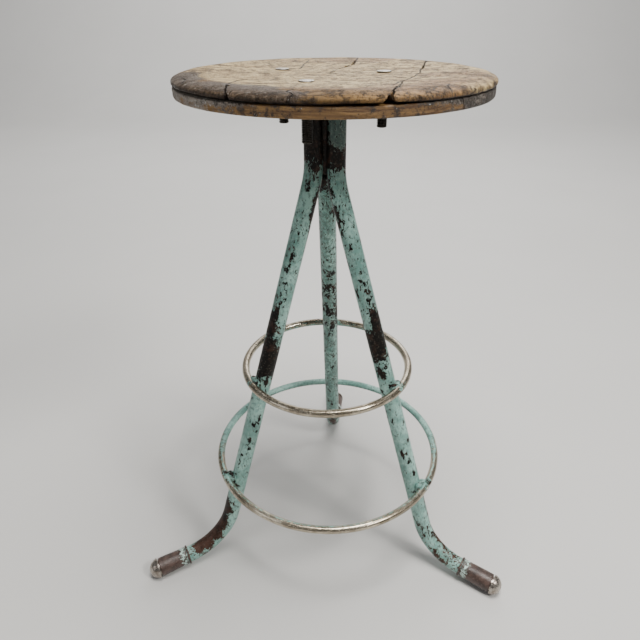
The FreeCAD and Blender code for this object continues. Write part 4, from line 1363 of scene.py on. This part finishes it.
def lower_board_rows(around=560):
    """Rows of the lower board from the middle of its underside round to the middle of its top."""
    bearing = np.degrees(circle(around))
    heading = np.radians(bearing)
    edge = LOWER_BOARD_RADIUS - 0.3
    outline = [(0.0, SEAT_UNDERSIDE, 0.0), (edge - 12.0, SEAT_UNDERSIDE, 0.0),
               (edge - 1.2, SEAT_UNDERSIDE + 0.2, 0.0), (edge - 0.3, SEAT_UNDERSIDE + 0.9, 0.0)]
    outline += [(edge, height, 0.0) for height in np.linspace(SEAT_UNDERSIDE + 2.0, BOARD_SEAM - 2.0, 9)]
    outline += [(edge - 0.3, BOARD_SEAM - 1.0, 0.3), (edge - 1.2, BOARD_SEAM - 0.35, 0.5),
                (edge - 12.0, BOARD_SEAM, 0.2), (0.0, BOARD_SEAM, 0.0)]
    rows = []
    for reach, height, opening in outline:
        share = np.interp(reach, [150.0, 174.0], [0.0, 1.0])
        out = reach * np.ones(around)
        if share > 0:
            for step in range(around):
                spot = Vector((math.cos(heading[step]) * 9.0, math.sin(heading[step]) * 9.0, height * 0.16))
                out[step] -= share * (0.3 + 0.45 * noise.noise(spot) + 0.25 * noise.noise(spot * 3.1))
        up = height - opening * gap_at(bearing)
        rows.append(round_row(out, heading, up, SEAT_OFFSET_X))
    return np.array(rows)


def lower_board(material):
    """The thinner board, darkest at its top edge and to the left and right of its front."""
    cutters = drilled_holes(SEAT_UNDERSIDE - 5.0, BOARD_SEAM + 5.6)
    cutters.append(edge_joint(311.3, 312.5))
    mesh = carved("lower_board", skin("lower_board", lower_board_rows()), joined("holes", cutters))
    points = points_of(mesh)
    compass = np.degrees(np.arctan2(points[:, 1], points[:, 0] - SEAT_OFFSET_X)) % 360
    dark = 0.45 * near_bearing(compass, 210.0, 32.0, 4)
    dark += 0.70 * near_bearing(compass, 338.0, 34.0, 4)
    dark *= np.clip((np.hypot(points[:, 0] - SEAT_OFFSET_X, points[:, 1]) - 150.0) / 22.0, 0, 1)
    dark += 0.10 + 0.30 * np.clip((points[:, 2] - SEAT_UNDERSIDE - 5.0) / 5.0, 0, 1)
    give_values(mesh, "dark", dark)
    give_values(mesh, "flecks", near_bearing(compass, 224.0, 7.0))
    give_values(mesh, "pale", near_bearing(compass, 212.0, 34.0))
    piece("seat_base_board", mesh, "seat", "seat_wood_base", material, "seat_board_lower",
                 sharp_angle=45.0)


def edge_joint(bearing_top, bearing_foot):
    """A thin slot across the lower board's edge where its veneer ends meet."""
    rows = []
    for height, bearing in ((BOARD_SEAM + 1.0, bearing_top), (SEAT_UNDERSIDE - 1.0, bearing_foot)):
        rows.append(slot_section(bearing, SEAT_RADIUS + 2.0, SEAT_RADIUS - 6.0, 0.5, 1.0, height))
    return skin("edge_joint", np.array(rows))


# --- seat hardware ---

def hexagon_reach(angles, across_flats):
    """Distance from the middle to the side of a hexagon at each angle."""
    return across_flats / 2 / np.cos((angles + math.pi / 6) % (math.pi / 3) - math.pi / 6)


def hex_block(name, across_flats, bore, foot, top, x=0.0, y=0.0, spin=0.0):
    """A nut or bolt head with turned-down corners; bore 0 leaves it solid."""
    angles = circle(96)
    sides = hexagon_reach(angles, across_flats)
    flat_circle = across_flats / 2 * 0.97
    levels = ((foot, 0.0), (foot + 0.5, 0.9), (foot + 1.0, 2.0),
              (top - 1.0, 2.0), (top - 0.5, 0.9), (top, 0.0))
    outline = [(bore, foot)]
    outline += [(np.minimum(sides, flat_circle + allowed), height) for height, allowed in levels]
    outline.append((bore, top))
    rows = [round_row(reach, angles + spin, height, x, y) for reach, height in outline]
    return skin(name, np.array(rows), closed=bore > 0)


def threaded_bar(name, radius, depth, pitch, thread_foot, thread_top, below, above, around=40):
    """A bar with a helical thread between two heights, and plain turned ends."""
    angles = circle(around)
    rows = [round_row(reach, angles, height) for reach, height in below]
    for height in np.arange(thread_foot, thread_top, pitch / 8):
        phase = (height / pitch - angles / (2 * math.pi)) % 1.0
        groove = np.clip(1.4 - np.abs(phase * 2 - 1) * 2.2, 0, 1)
        fade = min(1.0, (height - thread_foot) / pitch, (thread_top - height) / pitch)
        reach = radius - depth * groove * max(fade, 0.0)
        rows.append(round_row(reach, angles, height))
    rows += [round_row(reach, angles, height) for reach, height in above]
    return skin(name, np.array(rows))


def bolts(material):
    """Three bolts with low worn heads and threaded tails."""
    head = softened([
        (BOLT_RADIUS, BOLT_HEAD_UNDERSIDE, 0), (BOLT_HEAD_RADIUS, BOLT_HEAD_UNDERSIDE, 0.4),
        (BOLT_HEAD_RADIUS, BOLT_HEAD_TOP - 0.3, 0.4), (BOLT_HEAD_RADIUS - 1.0, BOLT_HEAD_TOP, 0.5),
        (0.0, BOLT_HEAD_TOP, 0)])
    tip = [(0.0, BOLT_TIP), (BOLT_RADIUS - 0.8, BOLT_TIP), (BOLT_RADIUS - 0.7, BOLT_TIP + 0.2)]
    shank = [(BOLT_RADIUS, BOLT_THREAD_TOP + 0.5)]
    one = threaded_bar("bolt", BOLT_RADIUS, BOLT_THREAD_DEPTH, BOLT_PITCH, BOLT_TIP + 0.8, BOLT_THREAD_TOP,
                       tip, shank + list(head))
    points = points_of(one)
    tail = np.clip((BOLT_HEAD_UNDERSIDE - points[:, 2]) / 2.0, 0, 1)
    side_wall = np.hypot(points[:, 0], points[:, 1]) > BOLT_HEAD_RADIUS - 0.15
    give_values(one, "dark", np.maximum(tail, 0.9 * side_wall))
    copies = []
    for (x, y), angle in zip(bolt_places(), BOLT_ANGLES):
        copy = turned(one, angle * 3)
        copy.transform(Matrix.Translation((x * MM, y * MM, 0.0)))
        copies.append(copy)
    piece("carriage_bolts", joined("bolts", copies), "seat", "bolt_steel", material, "seat_bolts")


def bolt_hardware(material):
    """Washers and nuts under the flange."""
    washers = []
    nuts = []
    foot = FLANGE_UNDERSIDE - WASHER_THICKNESS
    for (x, y), angle in zip(bolt_places(), BOLT_ANGLES):
        washers.append(disc("washer", BOLT_HOLE_RADIUS, WASHER_RADIUS, foot, FLANGE_UNDERSIDE,
                            (0.2, 0.5, 0.2, 0.2), 64, x, y))
        nuts.append(hex_block("nut", NUT_ACROSS_FLATS, BOLT_RADIUS, foot - NUT_THICKNESS, foot, x, y,
                              math.radians(angle * 1.7)))
    piece("flat_washers", joined("washers", washers), "seat", "bolt_steel", material, "bolt_washers",
          flat=True)
    piece("hex_nuts", joined("nuts", nuts), "seat", "bolt_steel", material, "bolt_nuts", sharp_angle=25.0,
          flat=True)


def flange(material):
    """The round steel plate under the seat, with its boss and the weld between them."""
    plate = disc("plate", SCREW_RADIUS, FLANGE_RADIUS, FLANGE_UNDERSIDE, SEAT_UNDERSIDE,
                 (0, 1.0, 0.8, 0), 144)
    holes = drilled_holes(FLANGE_UNDERSIDE - 5.0, SEAT_UNDERSIDE + 3.0)
    plate = carved("plate", plate, joined("plate_holes", holes))
    piece("flange_plate", plate, "seat", "flange_steel", material, "seat_flange", flat=True)
    boss = disc("boss", SCREW_RADIUS, BOSS_RADIUS, BOSS_UNDERSIDE, FLANGE_UNDERSIDE, (0.5, 1.4, 0, 0))
    piece("flange_hub", boss, "seat", "flange_steel", material, "flange_boss", flat=True)
    spheres = []
    for index, angle in enumerate(circle(38)):
        size = 2.1 + 0.35 * noise.noise(Vector((index * 0.9, 0.0, 0.0)))
        reach = BOSS_RADIUS + 1.1
        spheres.append((reach * math.cos(angle), reach * math.sin(angle), FLANGE_UNDERSIDE - 1.4, size))
    bead = merged_blobs("bead", spheres, 0.6)
    for vertex in bead.vertices:
        vertex.co.z = min(vertex.co.z, FLANGE_UNDERSIDE * MM)
    piece("flange_bead", bead, "seat", "flange_steel", material, "boss_weld")


def screw(material):
    """The seat's screw with its stop ring and the small screw that holds the ring."""
    below = [(0.0, STOP_RING_FOOT), (SCREW_STUB_RADIUS, STOP_RING_FOOT), (SCREW_STUB_RADIUS, STOP_RING_TOP),
             (SCREW_RADIUS - 1.0, STOP_RING_TOP)]
    above = [(SCREW_RADIUS, SCREW_SHANK_FOOT), (SCREW_RADIUS, SEAT_UNDERSIDE), (0.0, SEAT_UNDERSIDE)]
    spindle = threaded_bar("spindle", SCREW_RADIUS, SCREW_ROOT_DEPTH, SCREW_LEAD, STOP_RING_TOP + 0.8,
                           SCREW_THREAD_TOP, below, above, 56)
    piece("lead_screw", spindle, "seat", "screw_steel", material, "screw_spindle", sharp_angle=55.0)
    collar = disc("stop", SCREW_STUB_RADIUS, STOP_RING_RADIUS, STOP_RING_FOOT, STOP_RING_TOP,
                  (0, 0.6, 0.6, 0), 64)
    piece("travel_stop", collar, "seat", "screw_steel", material, "stop_ring", flat=True)
    head = hex_block("head", STOP_SCREW_HEAD_FLATS, 0.0, STOP_SCREW_HEAD_FOOT, STOP_RING_FOOT)
    shank = disc("shank", 0.0, STOP_SCREW_RADIUS, STOP_RING_FOOT - 0.5, STOP_SCREW_TOP, (0, 0, 0.5, 0), 32)
    piece("travel_stop_screw", joined("stop_screw", [head, shank]), "seat", "screw_steel", material,
          "stop_screw", flat=True)


def thrust_washer(material):
    """The loose disc between the hub and the flange's boss."""
    mesh = disc("thrust", THRUST_WASHER_BORE, THRUST_WASHER_RADIUS, THRUST_WASHER_FOOT, THRUST_WASHER_TOP,
                (0.3, 0.7, 0.7, 0.3))
    piece("bearing_disc", mesh, "bearing_washer", "screw_steel", material, "thrust_washer", flat=True)


# --- studio ---

def backdrop():
    """A pale floor that curves up into a wall far behind the stool."""
    profile = [(-4.0, 0.0), (3.4, 0.0)]
    for sweep in np.linspace(6, 90, 16):
        lean = math.radians(sweep)
        profile.append((3.4 + 1.6 * math.sin(lean), 1.6 - 1.6 * math.cos(lean)))
    profile.append((5.0, 4.5))
    points = [(x, y, z) for y, z in profile for x in (-7.0, 7.0)]
    faces = [(2 * i, 2 * i + 1, 2 * i + 3, 2 * i + 2) for i in range(len(profile) - 1)]
    mesh = bpy.data.meshes.new("backdrop")
    mesh.from_pydata(points, [], faces)
    sheet = place("backdrop", mesh, 60.0)
    sheet.data.materials.append(studio_surface("studio_surface"))


def soft_light(name, position, target, width, height, power, colour=(1.0, 1.0, 1.0)):
    light = bpy.data.lights.new(name, "AREA")
    light.shape = "RECTANGLE"
    light.size = width
    light.size_y = height
    light.energy = power
    light.color = colour
    lamp = bpy.data.objects.new(name, light)
    lamp.location = position
    lamp.rotation_euler = (Vector(target) - Vector(position)).to_track_quat("-Z", "Y").to_euler()
    bpy.context.scene.collection.objects.link(lamp)


def studio_lights():
    middle = (0.0, 0.0, 0.4)
    soft_light("overhead", (0.25, -0.15, 2.3), (0.0, 0.0, 0.6), 1.0, 1.0, 66.0, (1.0, 0.985, 0.955))
    soft_light("key", (1.7, -1.2, 2.3), middle, 0.6, 0.6, 50.0, (1.0, 0.985, 0.96))
    soft_light("fill", (-2.2, -1.3, 1.5), middle, 1.2, 1.2, 9.0, (0.95, 0.98, 1.0))
    soft_light("back", (0.6, 2.2, 1.8), middle, 1.6, 1.0, 14.0)
    soft_light("wall_wash", (0.0, 2.0, 3.2), (0.0, 5.0, 0.9), 4.0, 0.8, 190.0)
    world = bpy.data.worlds.new("studio_world")
    world.use_nodes = True
    background = world.node_tree.nodes["Background"]
    background.inputs["Color"].default_value = (0.93, 0.96, 1.0, 1.0)
    background.inputs["Strength"].default_value = 0.15
    bpy.context.scene.world = world


def camera():
    """The eye in front of the stool and a little above its seat, looking down."""
    tilt = math.radians(CAMERA_TILT_DOWN)
    yaw = math.radians(CAMERA_YAW)
    roll = math.radians(CAMERA_ROLL)
    forward = Vector((math.sin(yaw) * math.cos(tilt), math.cos(yaw) * math.cos(tilt), -math.sin(tilt)))
    level_right = Vector((math.cos(yaw), -math.sin(yaw), 0.0))
    level_up = level_right.cross(forward)
    right = level_right * math.cos(roll) + level_up * math.sin(roll)
    up = level_up * math.cos(roll) - level_right * math.sin(roll)
    turn = Matrix((right, up, -forward)).transposed().to_4x4()
    data = bpy.data.cameras.new("camera")
    data.sensor_width = 36.0
    data.lens = CAMERA_LENS
    data.shift_y = CAMERA_SHIFT_Y
    eye = bpy.data.objects.new("camera", data)
    eye.matrix_world = Matrix.Translation(CAMERA_POSITION) @ turn
    bpy.context.scene.collection.objects.link(eye)
    bpy.context.scene.camera = eye


def build():
    paint = chipped_paint("chipped_paint")
    # The rear leg's paint is darker: more grime, and painted shade under the seat
    rear_paint = chipped_paint("rear_leg_paint", chips=0.29, grime_and_shade=0.06, scatter=0.570)
    hub_paint = chipped_paint("hub_paint", chips=0.30, scatter=0.570)
    rod = worn_rod("worn_rod")
    sleeve = brown_sleeve("brown_sleeve")
    dome, bolt, dark, oiled = (rubbed_metal(name, *look) for name, look in METALS.items())

    for side in LEG_ANGLES:
        leg(side, rear_paint if side == "rear" else paint)
        foot(side, sleeve, dome)
    hub_seams(hub_paint)
    end_plate(hub_paint)
    socket(hub_paint)

    ring("footrest_upper", UPPER_RING_RADIUS, UPPER_RING_HEIGHT, UPPER_RING_OFFSET_X, (160.0,),
         upper_ring_paint, upper_ring_dark, rod, "upper_footrest_ring")
    ring("footrest_lower", LOWER_RING_RADIUS, LOWER_RING_HEIGHT, LOWER_RING_OFFSET_X, (267.0, 276.0),
         lower_ring_paint, lower_ring_dark, rod, "lower_footrest_ring")
    ring_welds("upper_beads", UPPER_RING_HEIGHT, UPPER_RING_RADIUS, UPPER_RING_OFFSET_X, 7.8, hub_paint,
               "upper_ring_welds")
    ring_welds("lower_beads", LOWER_RING_HEIGHT, LOWER_RING_RADIUS, LOWER_RING_OFFSET_X, 7.2, hub_paint,
               "lower_ring_welds", (("right", 1.0, 9.0, 4.0, 5.0), ("left", 0.0, -8.0, 3.0, 4.5)))
    ring_pegs(paint)

    upper_board(seat_wood("seat_wood"))
    lower_board(board_edge_wood("board_edge_wood"))
    bolts(bolt)
    bolt_hardware(bolt)
    flange(dark)
    screw(oiled)
    thrust_washer(oiled)


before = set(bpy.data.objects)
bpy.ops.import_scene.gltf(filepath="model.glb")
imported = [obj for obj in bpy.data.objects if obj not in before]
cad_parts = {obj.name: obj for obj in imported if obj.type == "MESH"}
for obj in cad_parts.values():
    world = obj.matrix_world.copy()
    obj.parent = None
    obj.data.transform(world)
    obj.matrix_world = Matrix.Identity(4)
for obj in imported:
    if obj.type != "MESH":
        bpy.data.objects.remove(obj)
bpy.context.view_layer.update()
build()
backdrop()
studio_lights()
camera()
